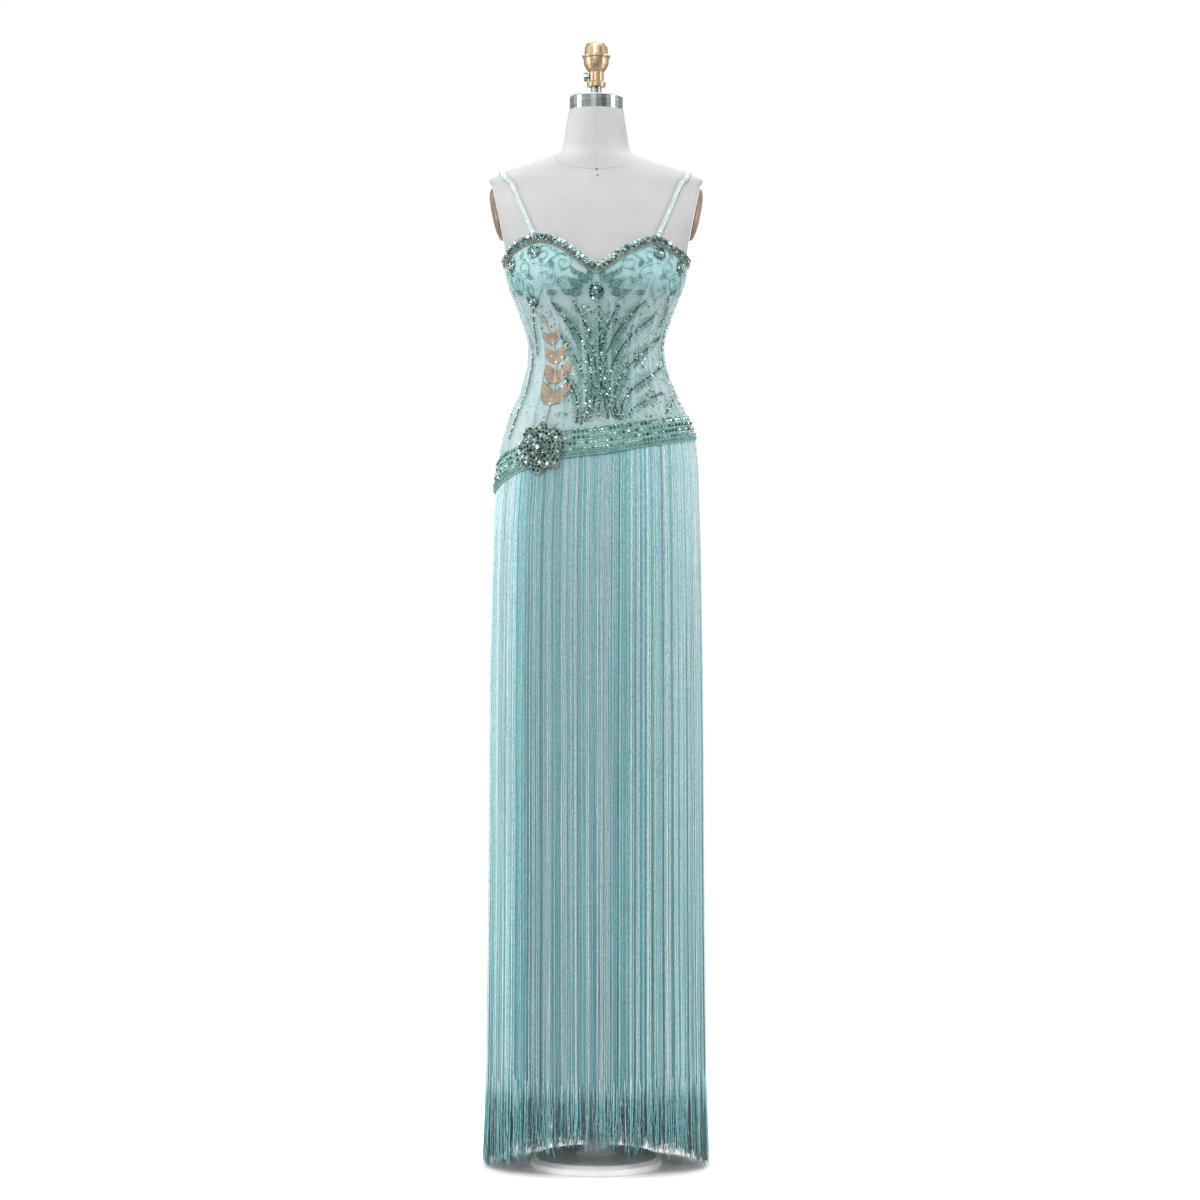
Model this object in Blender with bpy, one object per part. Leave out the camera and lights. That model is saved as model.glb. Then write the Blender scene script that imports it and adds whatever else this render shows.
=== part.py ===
"""A fringed evening gown on a limbless dress form, with the form's neck cap, finial, pole and foot.

Metres, +Z up. The origin is on the floor under the form's pole, the gown's front faces -Y,
and +X is on the right of someone who looks at that front.
"""

import math

import bpy
import numpy as np
from mathutils import Matrix

MM = 0.001

# Heights of the form and its stand
FOOT_THICK = 0.016
FOOT_RADIUS = 0.105
HUB_TOP = 0.048
POLE_RADIUS = 0.0125
TORSO_BOTTOM = 0.800
CAP_BOTTOM = 1.6873
CAP_TOP = 1.7095
FINIAL_BOTTOM = 1.725
SCREW_HEIGHT = 1.7405

# Gaps and cloth thicknesses, in millimetres out from the form
SEAM_GAP = 0.3
CUP = (0.5, 1.4)
NET_LOW = (0.6, 1.8)
NET_BUST = (2.0, 3.2)
SLIP = (0.6, 1.8)
CASING = (0.3, 1.0, 1.6)
TRIM_LIFT = 0.9
STRAP = (1.7, 3.3)
FRINGE_TAPE = (2.4, 4.2)
FRINGE_LIFT_OFF = 1.2

SLIP_HEM = 0.122
STRAP_WIDTH = 0.0065
STRAP_CLEAR = 0.0010
CASING_WIDTH = 0.007
TRIM_WIDTH = 0.0150
BACK_TRIM_WIDTH = 0.008
STRAND_SHARE = 0.62
TAPE_TOP = 0.0115
TAPE_LOW = 0.0030

# The form: one row for each level, from its foot end to the top of its neck.
# corner is 1 for an ellipse and less for a squarer section, cut is how far the section
# would go past its half width before the flat of the armhole takes it off.
FORM_COLUMNS = ("z", "half_width", "front", "back", "shift", "corner", "cut")
FORM = (
    (0.800, 0.1460, 0.090, 0.102, 0.0000, 0.96, 1.00),
    (0.900, 0.1505, 0.096, 0.112, 0.0000, 0.95, 1.00),
    (0.980, 0.1555, 0.101, 0.120, 0.0003, 0.94, 1.00),
    (1.040, 0.1590, 0.104, 0.125, 0.0010, 0.93, 1.00),
    (1.090, 0.1580, 0.105, 0.126, 0.0020, 0.93, 1.00),
    (1.120, 0.1560, 0.104, 0.124, 0.0026, 0.92, 1.00),
    (1.150, 0.1525, 0.101, 0.120, 0.0030, 0.92, 1.00),
    (1.180, 0.1445, 0.097, 0.113, 0.0030, 0.92, 1.00),
    (1.205, 0.1360, 0.094, 0.107, 0.0030, 0.92, 1.00),
    (1.230, 0.1240, 0.090, 0.099, 0.0030, 0.92, 1.00),
    (1.256, 0.1148, 0.086, 0.091, 0.0016, 0.93, 1.00),
    (1.282, 0.1076, 0.083, 0.085, 0.0008, 0.94, 1.00),
    (1.307, 0.1058, 0.082, 0.083, 0.0000, 0.94, 1.00),
    (1.333, 0.1100, 0.085, 0.085, 0.0000, 0.93, 1.00),
    (1.358, 0.1175, 0.092, 0.089, 0.0000, 0.92, 1.00),
    (1.384, 0.1275, 0.101, 0.094, 0.0000, 0.91, 1.00),
    (1.410, 0.1375, 0.106, 0.098, 0.0000, 0.90, 1.00),
    (1.435, 0.1425, 0.104, 0.101, 0.0000, 0.88, 1.00),
    (1.455, 0.1440, 0.100, 0.102, 0.0000, 0.87, 1.01),
    (1.4736, 0.1467, 0.095, 0.102, 0.0000, 0.86, 1.03),
    (1.500, 0.1520, 0.087, 0.100, 0.0000, 0.86, 1.07),
    (1.525, 0.1570, 0.079, 0.096, 0.0000, 0.86, 1.08),
    (1.550, 0.1620, 0.071, 0.089, 0.0000, 0.87, 1.06),
    (1.566, 0.1654, 0.065, 0.081, 0.0000, 0.89, 1.03),
    (1.5725, 0.1703, 0.063, 0.078, 0.0000, 0.90, 1.01),
    (1.5765, 0.1690, 0.061, 0.075, -0.0008, 0.92, 1.00),
    (1.5862, 0.1510, 0.058, 0.069, -0.0015, 0.96, 1.00),
    (1.5988, 0.1136, 0.055, 0.063, -0.0020, 1.00, 1.00),
    (1.6112, 0.0768, 0.052, 0.058, -0.0020, 1.00, 1.00),
    (1.6170, 0.0585, 0.050, 0.054, -0.0012, 1.00, 1.00),
    (1.6262, 0.0535, 0.048, 0.051, -0.0008, 1.00, 1.00),
    (1.648, 0.0500, 0.0465, 0.048, -0.0006, 1.00, 1.00),
    (1.668, 0.0468, 0.045, 0.045, -0.0003, 1.00, 1.00),
    (1.687, 0.0436, 0.0436, 0.0436, 0.0000, 1.00, 1.00),
)

# The bust is a pair of soft swellings on the form's front.
BUST_RISE = 0.015
BUST_HEIGHT = 1.412
BUST_TALL = 0.036
BUST_ANGLE = 36.0
BUST_WIDE = 22.0

# Below the hips the slip and the fringe hang straight instead of following the form.
SLIP_DROP = (
    (0.122, 0.1535, 0.1050, 0.1230, 0.0, 1.00, 1.0),
    (0.450, 0.1560, 0.1060, 0.1260, 0.0, 0.97, 1.0),
    (0.800, 0.1580, 0.1060, 0.1280, 0.0, 0.95, 1.0),
    (1.000, 0.1592, 0.1055, 0.1275, 0.0006, 0.93, 1.0),
)
FRINGE_DROP = (
    (0.000, 0.1760, 0.1240, 0.1400, 0.0, 1.00, 1.0),
    (0.123, 0.1745, 0.1220, 0.1390, 0.0, 0.99, 1.0),
    (0.427, 0.1710, 0.1180, 0.1370, 0.0, 0.97, 1.0),
    (0.747, 0.1690, 0.1140, 0.1350, 0.0, 0.95, 1.0),
    (1.000, 0.1655, 0.1110, 0.1325, 0.0006, 0.93, 1.0),
    (1.060, 0.1640, 0.1096, 0.1310, 0.0014, 0.93, 1.0),
)

# Angles run round the form from the centre front, 0, to its right side, 90, and the back, 180.
NECKLINE_COLUMNS = ("angle", "z")
NECKLINE = (
    (-180.0, 1.4330),
    (-140.0, 1.4370),
    (-110.0, 1.4440),
    (-90.0, 1.4480),
    (-77.0, 1.4517),
    (-67.0, 1.4605),
    (-52.0, 1.4710),
    (-43.0, 1.4765),
    (-35.0, 1.4800),
    (-29.0, 1.4790),
    (-24.8, 1.4768),
    (-18.2, 1.4697),
    (-13.5, 1.4615),
    (-5.5, 1.4430),
    (0.0, 1.4307),
    (5.5, 1.4412),
    (12.0, 1.4543),
    (18.5, 1.4643),
    (25.0, 1.4710),
    (33.5, 1.4762),
    (40.2, 1.4730),
    (47.0, 1.4675),
    (55.0, 1.4620),
    (65.0, 1.4565),
    (79.5, 1.4500),
    (90.0, 1.4475),
    (110.0, 1.4440),
    (140.0, 1.4370),
    (180.0, 1.4330),
)

HIP_BAND_COLUMNS = ("angle", "middle", "width")
HIP_BAND = (
    (-180.0, 1.1380, 0.0440),
    (-150.0, 1.1180, 0.0460),
    (-120.0, 1.1020, 0.0480),
    (-90.0, 1.0980, 0.0500),
    (-68.0, 1.1130, 0.0480),
    (-45.0, 1.1297, 0.0440),
    (-18.0, 1.1480, 0.0445),
    (0.0, 1.1538, 0.0445),
    (25.0, 1.1640, 0.0415),
    (55.0, 1.1730, 0.0395),
    (90.0, 1.1780, 0.0395),
    (120.0, 1.1710, 0.0400),
    (150.0, 1.1570, 0.0420),
    (180.0, 1.1380, 0.0440),
)

# The band's section, from its top edge to its lower one: bead rows stand out as ridges,
# and the lower third steps out to leave room for the tape that carries the fringe.
BAND_SECTION_COLUMNS = ("share", "inner", "outer")
BAND_SECTION = (
    (0.00, 2.4, 4.0),
    (0.12, 2.4, 5.0),
    (0.24, 2.4, 4.3),
    (0.38, 2.4, 5.6),
    (0.50, 2.4, 5.0),
    (0.60, 2.4, 6.1),
    (0.66, 4.7, 6.1),
    (0.83, 4.7, 7.0),
    (1.00, 4.7, 6.0),
)

# Seam lines of the bodice: their angles at five heights, from the hip band up to the neckline
LINE_HEIGHTS = (1.100, 1.190, 1.307, 1.415, 1.470)
LINES = {
    "princess": (20.0, 22.0, 30.0, 33.0, 36.0),
    "side_seam": (90.0, 90.0, 90.0, 90.0, 90.0),
    "back_princess": (150.0, 148.0, 144.0, 142.0, 142.0),
    "centre_back": (180.0, 180.0, 180.0, 180.0, 180.0),
}

# The cloth's grid. Its columns start at the centre back and run round the left side, the
# front and the right side: each seam takes the column named here.
GRID_SEAMS = (
    (0, "centre_back", -1),
    (2, "back_princess", -1),
    (6, "side_seam", -1),
    (12, "princess", -1),
    (18, "princess", 1),
    (24, "side_seam", 1),
    (28, "back_princess", 1),
    (30, "centre_back", 1),
)
SEAM_COLUMNS = tuple(seam[0] for seam in GRID_SEAMS)
GRID_COLUMNS = SEAM_COLUMNS[-1]
ROW_LEVELS = (1.416, 1.396, 1.375, 1.345, 1.310, 1.275, 1.238, 1.205)
ROW_COUNT = len(ROW_LEVELS) + 5
HIP_LEVEL = 1.050
SLIP_LEVELS = (0.800, 0.450)
TORSO_LEVELS = (0.800, 0.900, 0.980, HIP_LEVEL)
SHOULDER_LEVELS = (1.500, 1.525, 1.550, 1.566, 1.5725, 1.5785, 1.5862, 1.5988, 1.6112, 1.617, 1.6262,
                   1.650, 1.687)

# Each piece's name and the seams it runs between, by their place in the list above
PANELS = (
    ("bodice_back_left", 0, 1),
    ("bodice_side_back_left", 1, 2),
    ("bodice_side_front_left", 2, 3),
    ("bodice_centre_front", 3, 4),
    ("bodice_side_front_right", 4, 5),
    ("bodice_side_back_right", 5, 6),
    ("bodice_back_right", 6, 7),
)
SLIP_PIECES = (
    ("slip_back_left", 0, 2),
    ("slip_front", 2, 5),
    ("slip_back_right", 5, 7),
)

# Bone channels: how many columns out from the centre front, and the height each starts at,
# or none where it starts under the neckline's beaded edge.
CASINGS = (
    ("centre", 1, 1.372),
    ("princess", 3, 1.438),
    ("side_front", 5, 1.360),
    ("side", 7, None),
)

# Cups, in columns out from the centre front and rows down from the neckline
CUP_COLUMNS = 8
CUP_ROWS = 6

# The neckline's beaded edge: the seams each piece runs between, none for the centre front,
# its steps, its width, and how far its stones rise
TRIM_EDGE_RISE = 0.9
TRIM_PLAIN_RISE = 1.6
TRIMS = (
    ("neckline_trim_back_left", 0, 2, 12, BACK_TRIM_WIDTH, 1.6),
    ("neckline_trim_front_left", 2, None, 27, TRIM_WIDTH, 2.6),
    ("neckline_trim_front_right", None, 5, 27, TRIM_WIDTH, 2.6),
    ("neckline_trim_back_right", 5, 7, 12, BACK_TRIM_WIDTH, 1.6),
)
BAND_PIECES = (
    ("hip_band_back_left", -180.0, -90.0, 11),
    ("hip_band_front", -90.0, 90.0, 24),
    ("hip_band_back_right", 90.0, 180.0, 11),
)
FRINGE_PIECES = (
    ("fringe_back_left", -180.0, -90.0, 30),
    ("fringe_front", -90.0, 90.0, 62),
    ("fringe_back_right", 90.0, 180.0, 30),
)

# The strap: its angle and height, from the front neckline over the shoulder to the back one.
STRAP_PATH_COLUMNS = ("angle", "z")
STRAP_PATH = (
    (36.2, 1.4810),
    (36.8, 1.4860),
    (38.0, 1.500),
    (40.0, 1.518),
    (42.6, 1.536),
    (46.5, 1.554),
    (51.7, 1.5685),
    (57.2, 1.5758),
    (62.9, 1.5805),
    (70.0, 1.5836),
    (79.0, 1.5859),
    (90.0, 1.5869),
    (101.0, 1.5854),
    (112.0, 1.5800),
    (122.0, 1.5665),
    (131.0, 1.540),
    (140.0, 1.490),
    (145.6, 1.450),
    (146.0, 1.4370),
)

# The lower ends of the fringe, by angle, before each strand's own unevenness.
FRINGE_ENDS_COLUMNS = ("angle", "z")
FRINGE_ENDS = (
    (-180.0, 0.014),
    (-120.0, 0.012),
    (-90.0, 0.010),
    (-60.0, 0.020),
    (-45.0, 0.030),
    (-30.0, 0.038),
    (-15.0, 0.055),
    (0.0, 0.052),
    (15.0, 0.052),
    (35.0, 0.047),
    (47.0, 0.041),
    (60.0, 0.029),
    (75.0, 0.021),
    (90.0, 0.013),
    (120.0, 0.012),
    (180.0, 0.014),
)
FRINGE_UNEVEN = 0.007
FRINGE_SWAY = np.array([0.0006, 0.0012])
FRINGE_FREE = 1.030

# Clusters of stones: where each sits, its radius, petals, and its rise over what carries it.
ROSETTE_COLUMNS = ("name", "angle", "z", "radius", "petals", "rise", "lift")
ROSETTES = (
    ("rosette_left_cup", -37.5, 1.4495, 0.0105, 5, 4.0, 0.9),
    ("rosette_right_cup", 38.0, 1.4465, 0.0100, 5, 4.0, 0.9),
    ("rosette_left_side", -62.5, 1.4345, 0.0110, 5, 4.0, 0.9),
    ("rosette_right_side", 62.0, 1.4290, 0.0105, 5, 4.0, 0.9),
    ("rosette_centre", 0.0, 1.3880, 0.0135, 6, 4.5, 0.9),
    ("rosette_left_waist", -48.0, 1.3770, 0.0100, 5, 4.0, 0.9),
    ("rosette_hip", -33.5, 1.1425, 0.0395, 6, 8.0, 7.9),
)

PETAL_NOTCH = 0.24

# Turned pieces, as radius and height from the bottom up
FOOT_PROFILE = (
    (FOOT_RADIUS - 0.002, 0.0),
    (FOOT_RADIUS, 0.002),
    (FOOT_RADIUS, FOOT_THICK - 0.006),
    (FOOT_RADIUS - 0.008, FOOT_THICK),
    (0.034, 0.020),
    (0.022, 0.030),
    (0.020, HUB_TOP),
)
POLE_PROFILE = (
    (POLE_RADIUS, HUB_TOP + 0.0003),
    (POLE_RADIUS, TORSO_BOTTOM - 0.030),
    (0.032, TORSO_BOTTOM - 0.012),
    (0.040, TORSO_BOTTOM - 0.008),
    (0.040, TORSO_BOTTOM - 0.0003),
)
CAP_PROFILE = (
    (0.0424, CAP_BOTTOM),
    (0.0424, CAP_TOP - 0.002),
    (0.0405, CAP_TOP),
)
POLE_TOP_PROFILE = (
    (0.0145, CAP_TOP + 0.0003),
    (0.0145, CAP_TOP + 0.0030),
    (0.0085, CAP_TOP + 0.0040),
    (0.0085, FINIAL_BOTTOM - 0.0003),
)
FINIAL_PROFILE = (
    (0.0150, FINIAL_BOTTOM),
    (0.0150, 1.7315),
    (0.0120, 1.7335),
    (0.0120, 1.7480),
    (0.0162, 1.7535),
    (0.0196, 1.7600),
    (0.0202, 1.7680),
    (0.0202, 1.7705),
    (0.0226, 1.7720),
    (0.0226, 1.7742),
    (0.0192, 1.7765),
    (0.0180, 1.7885),
    (0.0152, 1.7938),
    (0.0098, 1.7970),
    (0.0030, 1.7983),
)
# The thumb screw's radius against the distance out from the finial's axis
SCREW_PROFILE = (
    (0.0025, 0.0047),
    (0.0025, 0.0134),
    (0.0068, 0.0136),
    (0.0074, 0.0146),
    (0.0074, 0.0186),
    (0.0060, 0.0198),
)
SCREW_BORE_RADIUS = 0.0031
SCREW_BORE_DEPTH = 0.0040

# The plates on the armholes: the flat they sit on, their size, and their dome as the share of
# the rim's size against the distance out from the flat
PLATE_FLAT = (1.4736, 1.566)
PLATE_MIDDLE = 1.5215
PLATE_TALL = 0.0425
PLATE_DEEP = 0.0330
PLATE_DOME = (
    (1.00, 0.0013),
    (1.00, 0.0030),
    (0.90, 0.0064),
    (0.64, 0.0092),
    (0.30, 0.0104),
)

COLOURS = {
    "form_linen": (0.78, 0.76, 0.73),
    "arm_plate": (0.36, 0.25, 0.16),
    "steel": (0.62, 0.63, 0.64),
    "brass": (0.72, 0.53, 0.30),
    "enamel": (0.86, 0.86, 0.85),
    "net": (0.62, 0.78, 0.76),
    "cup_satin": (0.50, 0.72, 0.74),
    "casing": (0.60, 0.80, 0.81),
    "beadwork": (0.25, 0.45, 0.42),
    "stones": (0.30, 0.42, 0.42),
    "slip_satin": (0.45, 0.68, 0.71),
    "fringe": (0.42, 0.66, 0.68),
}
METALS = ("steel", "brass")


def clear_scene():
    for thing in list(bpy.data.objects):
        bpy.data.objects.remove(thing)


def material(name):
    found = bpy.data.materials.get(name)
    if found:
        return found
    made = bpy.data.materials.new(name)
    made.use_nodes = True
    shader = made.node_tree.nodes["Principled BSDF"]
    shader.inputs["Base Color"].default_value = (*COLOURS[name], 1.0)
    shader.inputs["Metallic"].default_value = 1.0 if name in METALS else 0.0
    shader.inputs["Roughness"].default_value = 0.35 if name in METALS else 0.75
    return made


def through(knots, values, at):
    """A smooth curve through a table's rows that never swings past them."""
    knots, values = np.asarray(knots, float), np.asarray(values, float)
    steps = np.diff(knots)
    slopes = np.diff(values) / steps
    lean = np.zeros(len(knots))
    lean[0], lean[-1] = slopes[0], slopes[-1]
    before, after = slopes[:-1], slopes[1:]
    turning = before * after <= 0
    first, second = 2 * steps[1:] + steps[:-1], steps[1:] + 2 * steps[:-1]
    safe_before = np.where(turning, 1.0, before)
    safe_after = np.where(turning, 1.0, after)
    mean = (first + second) / (first / safe_before + second / safe_after)
    lean[1:-1] = np.where(turning, 0.0, mean)
    at = np.clip(np.asarray(at, float), knots[0], knots[-1])
    row = np.clip(np.searchsorted(knots, at, side="right") - 1, 0, len(knots) - 2)
    step = steps[row]
    t = (at - knots[row]) / step
    rise = (1 + 2 * t) * (1 - t) ** 2 * values[row] + t * t * (3 - 2 * t) * values[row + 1]
    bend = t * (1 - t) ** 2 * lean[row] + t * t * (t - 1) * lean[row + 1]
    return rise + step * bend


def column(table, columns, name):
    index = columns.index(name)
    return [row[index] for row in table]


def drop_table(hanging):
    """The form's rows from the hips up, with a straight hang below them."""
    return hanging + tuple(row for row in FORM if row[0] > hanging[-1][0] + 0.01)


SLIP_SHAPE = drop_table(SLIP_DROP)
FRINGE_SHAPE = drop_table(FRINGE_DROP)


def skin(shape, angle, z):
    """Points of a shape at angles in degrees and heights in metres."""
    angle, z = np.broadcast_arrays(np.asarray(angle, float), np.asarray(z, float))
    level = column(shape, FORM_COLUMNS, "z")
    half, front, back, shift, corner, cut = (
        through(level, column(shape, FORM_COLUMNS, name), z) for name in FORM_COLUMNS[1:]
    )
    turn = np.radians(angle)
    across = np.sign(np.sin(turn)) * np.abs(np.sin(turn)) ** corner
    along = np.sign(np.cos(turn)) * np.abs(np.cos(turn)) ** corner
    x = np.clip(half * cut * across, -half, half)
    y = np.where(along > 0, -front * along, -back * along)
    facing = (angle + 180.0) % 360.0 - 180.0
    tall = np.exp(-(((z - BUST_HEIGHT) / BUST_TALL) ** 2))
    swell = sum(np.exp(-(((facing - side) / BUST_WIDE) ** 2)) for side in (-BUST_ANGLE, BUST_ANGLE))
    rise = BUST_RISE * tall * swell
    return np.stack([x + shift + rise * np.sin(turn), y - rise * np.cos(turn), z], axis=-1)


def outward(shape, angle, z):
    """Unit vectors that point straight out of a shape."""
    turn, climb = 0.5, 0.0005
    around = skin(shape, angle + turn, z) - skin(shape, angle - turn, z)
    up = skin(shape, angle, z + climb) - skin(shape, angle, z - climb)
    normal = np.cross(around, up)
    return normal / np.linalg.norm(normal, axis=-1, keepdims=True)


def lifted(shape, angle, z, millimetres):
    """Points of a shape, moved straight out."""
    out = np.asarray(millimetres, float)[..., None] * MM
    return skin(shape, angle, z) + outward(shape, angle, z) * out


def line_angle(name, z):
    return through(LINE_HEIGHTS, LINES[name], z)


def neckline(angle):
    """The neckline's height. Each half has its own curve, so the two meet in a point."""
    turn, z = column(NECKLINE, NECKLINE_COLUMNS, "angle"), column(NECKLINE, NECKLINE_COLUMNS, "z")
    point = list(turn).index(0.0)
    left = through(turn[:point + 1], z[:point + 1], angle)
    right = through(turn[point:], z[point:], angle)
    return np.where(np.asarray(angle) < 0.0, left, right)


def band_middle(angle):
    return through(column(HIP_BAND, HIP_BAND_COLUMNS, "angle"),
                   column(HIP_BAND, HIP_BAND_COLUMNS, "middle"), angle)


def band_width(angle):
    return through(column(HIP_BAND, HIP_BAND_COLUMNS, "angle"),
                   column(HIP_BAND, HIP_BAND_COLUMNS, "width"), angle)


def band_top(angle):
    return band_middle(angle) + band_width(angle) / 2


def band_low(angle):
    return band_middle(angle) - band_width(angle) / 2


def new_object(name, points, faces, finish, smooth=None):
    mesh = bpy.data.meshes.new(name)
    mesh.from_pydata([tuple(p) for p in points], [], faces)
    mesh.materials.append(material(finish))
    if smooth is not None:
        mesh.shade_smooth()
        mesh.set_sharp_from_angle(angle=math.radians(smooth))
    made = bpy.data.objects.new(name, mesh)
    bpy.context.scene.collection.objects.link(made)
    return made


def wall(name, outer, inner, finish):
    """A closed sheet between two grids of points, whose rows run down and columns to the right."""
    rows, cols = outer.shape[:2]
    count = rows * cols
    points = np.concatenate([outer.reshape(-1, 3), inner.reshape(-1, 3)])

    def out(r, c):
        return r * cols + c

    def back(r, c):
        return count + r * cols + c

    faces = []
    for r in range(rows - 1):
        for c in range(cols - 1):
            faces.append((out(r, c), out(r + 1, c), out(r + 1, c + 1)))
            faces.append((out(r, c), out(r + 1, c + 1), out(r, c + 1)))
            faces.append((back(r, c), back(r + 1, c + 1), back(r + 1, c)))
            faces.append((back(r, c), back(r, c + 1), back(r + 1, c + 1)))
    for c in range(cols - 1):
        faces.append((out(0, c), out(0, c + 1), back(0, c + 1), back(0, c)))
        faces.append((out(rows - 1, c + 1), out(rows - 1, c), back(rows - 1, c), back(rows - 1, c + 1)))
    for r in range(rows - 1):
        last = cols - 1
        faces.append((out(r, 0), back(r, 0), back(r + 1, 0), out(r + 1, 0)))
        faces.append((out(r, last), out(r + 1, last), back(r + 1, last), back(r, last)))
    return new_object(name, points, faces, finish, smooth=40)


def ringed(name, rings, finish, smooth=40):
    """A closed solid through rings of points that climb, with a flat cap at each end.

    Its faces split along the same diagonals as a wall's, so a wall made over it stays clear.
    """
    around = len(rings[0])
    points = np.concatenate(rings)
    faces = [tuple(reversed(range(around)))]
    for level in range(len(rings) - 1):
        base = level * around
        for c in range(around):
            d = (c + 1) % around
            faces.append((base + c, base + d, base + around + c))
            faces.append((base + d, base + around + d, base + around + c))
    top = (len(rings) - 1) * around
    faces.append(tuple(top + c for c in range(around)))
    return new_object(name, points, faces, finish, smooth)


def turned(name, profile, sides, finish, place=None):
    """A piece turned about the Z axis from its radius and height, then set in place."""
    spread = np.arange(sides) * 2 * math.pi / sides
    circle = np.stack([np.cos(spread), np.sin(spread)], axis=-1)
    rings = [np.column_stack([circle * radius, np.full(sides, height)]) for radius, height in profile]
    made = ringed(name, rings, finish, smooth=35)
    if place is not None:
        made.matrix_world = place
        made.data.transform(place)
        made.matrix_world = Matrix.Identity(4)
    return made


def make_torso():
    """The form's body, whose facets under the cloth are the cloth's own."""
    angle, z = GRID
    columns = range(GRID_COLUMNS)
    low = angle[-1]
    below = [(low, np.full(low.shape, level)) for level in TORSO_LEVELS]
    below.append((low, (band_middle(low) + HIP_LEVEL) / 2))
    cloth = [(angle[v], z[v]) for v in reversed(range(ROW_COUNT))]
    top = angle[0]
    above = [(top, np.full(top.shape, level)) for level in SHOULDER_LEVELS]
    rings = [skin(FORM, turn[columns], height[columns]) for turn, height in below + cloth + above]
    ringed("form_torso", rings, "form_linen")


def make_arm_plates(sides=20):
    """Oval domed plates on the flats of the armholes, which lean in towards the bust."""
    low, high = PLATE_FLAT
    level = column(FORM, FORM_COLUMNS, "z")
    half = column(FORM, FORM_COLUMNS, "half_width")
    x_low, x_high = through(level, half, low), through(level, half, high)
    lean = math.atan2(x_high - x_low, high - low)
    upward = np.array([math.sin(lean), 0.0, math.cos(lean)])
    out = np.array([math.cos(lean), 0.0, -math.sin(lean)])
    flat = np.array([through(level, half, PLATE_MIDDLE), 0.006, PLATE_MIDDLE])
    spread = np.arange(sides) * 2 * math.pi / sides
    rim = (np.outer(np.sin(spread) * PLATE_DEEP, [0.0, 1.0, 0.0])
           + np.outer(np.cos(spread) * PLATE_TALL, upward))
    for side, name in ((-1.0, "arm_plate_left"), (1.0, "arm_plate_right")):
        rings = []
        for share, rise in PLATE_DOME:
            ring = flat + rim * share + out * rise
            ring[:, 0] *= side
            rings.append(ring if side < 0 else ring[::-1])
        ringed(name, rings, "arm_plate")


def make_stand():
    turned("foot_plate", FOOT_PROFILE, 36, "enamel")
    turned("stand_pole", POLE_PROFILE, 16, "steel")
    turned("neck_cap", CAP_PROFILE, 32, "steel")
    turned("pole_top", POLE_TOP_PROFILE, 16, "steel")
    finial = turned("finial", FINIAL_PROFILE, 24, "brass")
    outwards = Matrix.Translation((0, 0, SCREW_HEIGHT)) @ Matrix.Rotation(-math.pi / 2, 4, "Y")
    turned("thumb_screw", SCREW_PROFILE, 16, "steel", outwards)
    bore = ((SCREW_BORE_RADIUS, SCREW_BORE_DEPTH), (SCREW_BORE_RADIUS, 0.03))
    cutter = turned("screw_bore_cutter", bore, 16, "steel", outwards)
    cutter.hide_render = True
    cutter.display_type = "WIRE"
    cut = finial.modifiers.new("screw_bore", "BOOLEAN")
    cut.operation = "DIFFERENCE"
    cut.object = cutter


def net_lift(z):
    """How far the net's inner and outer faces stand off the form: more over the lined cups."""
    over_cup = np.clip((np.asarray(z, float) - 1.325) / 0.030, 0.0, 1.0)
    return tuple(low + (high - low) * over_cup for low, high in zip(NET_LOW, NET_BUST))


def net_outer(z):
    return net_lift(z)[1]


def grid_angle(u, z):
    """The angle of a column of the cloth's grid at a height: columns fan out between the seams."""
    seam = min(int(np.searchsorted(SEAM_COLUMNS, u, side="right")) - 1, len(SEAM_COLUMNS) - 2)
    share = (u - SEAM_COLUMNS[seam]) / (SEAM_COLUMNS[seam + 1] - SEAM_COLUMNS[seam])
    ends = []
    for _, line, sign in (GRID_SEAMS[seam], GRID_SEAMS[seam + 1]):
        ends.append(sign * line_angle(line, z))
    return ends[0] + (ends[1] - ends[0]) * share


def row_heights(angle):
    """Heights of the cloth's rows at an angle, from the neckline to the middle of the hip band."""
    top, low = neckline(angle), band_middle(angle)
    first, last = ROW_LEVELS[0], ROW_LEVELS[-1]
    upper = [top, top + (first - top) / 3, top + (first - top) * 2 / 3]
    return np.array([*upper, *ROW_LEVELS, (last + low) / 2, low])


def make_grid():
    """Angles and heights of the grid's crossings, rows down and columns to the right."""
    angle = np.zeros((ROW_COUNT, GRID_COLUMNS + 1))
    z = np.zeros_like(angle)
    for u in range(GRID_COLUMNS + 1):
        z[:, u] = 1.3
        for _ in range(8):
            for v in range(ROW_COUNT):
                angle[v, u] = grid_angle(u, z[v, u])
                z[v, u] = row_heights(angle[v, u])[v]
    return angle, z


def on_grid(u, v, lift):
    """Points on the facets between the grid's crossings, moved out by lift, in millimetres."""
    u, v = np.broadcast_arrays(np.asarray(u, float), np.asarray(v, float))
    angle, z = GRID
    out = lift(z) if callable(lift) else np.full(z.shape, float(lift))
    nodes = lifted(FORM, angle, z, out)
    left = np.clip(np.floor(u).astype(int), 0, GRID_COLUMNS - 1)
    above = np.clip(np.floor(v).astype(int), 0, ROW_COUNT - 2)
    right_share, down_share = (u - left)[..., None], (v - above)[..., None]
    upper = nodes[above, left] * (1 - right_share) + nodes[above, left + 1] * right_share
    lower = nodes[above + 1, left] * (1 - right_share) + nodes[above + 1, left + 1] * right_share
    return upper * (1 - down_share) + lower * down_share


def row_at(u, z):
    """The grid row, in parts of a row, where a column crosses a height."""
    rows = np.arange(ROW_COUNT)
    heights = on_grid(np.full(ROW_COUNT, float(u)), rows, 0.0)[:, 2]
    return float(np.interp(-z, -heights, rows))


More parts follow.
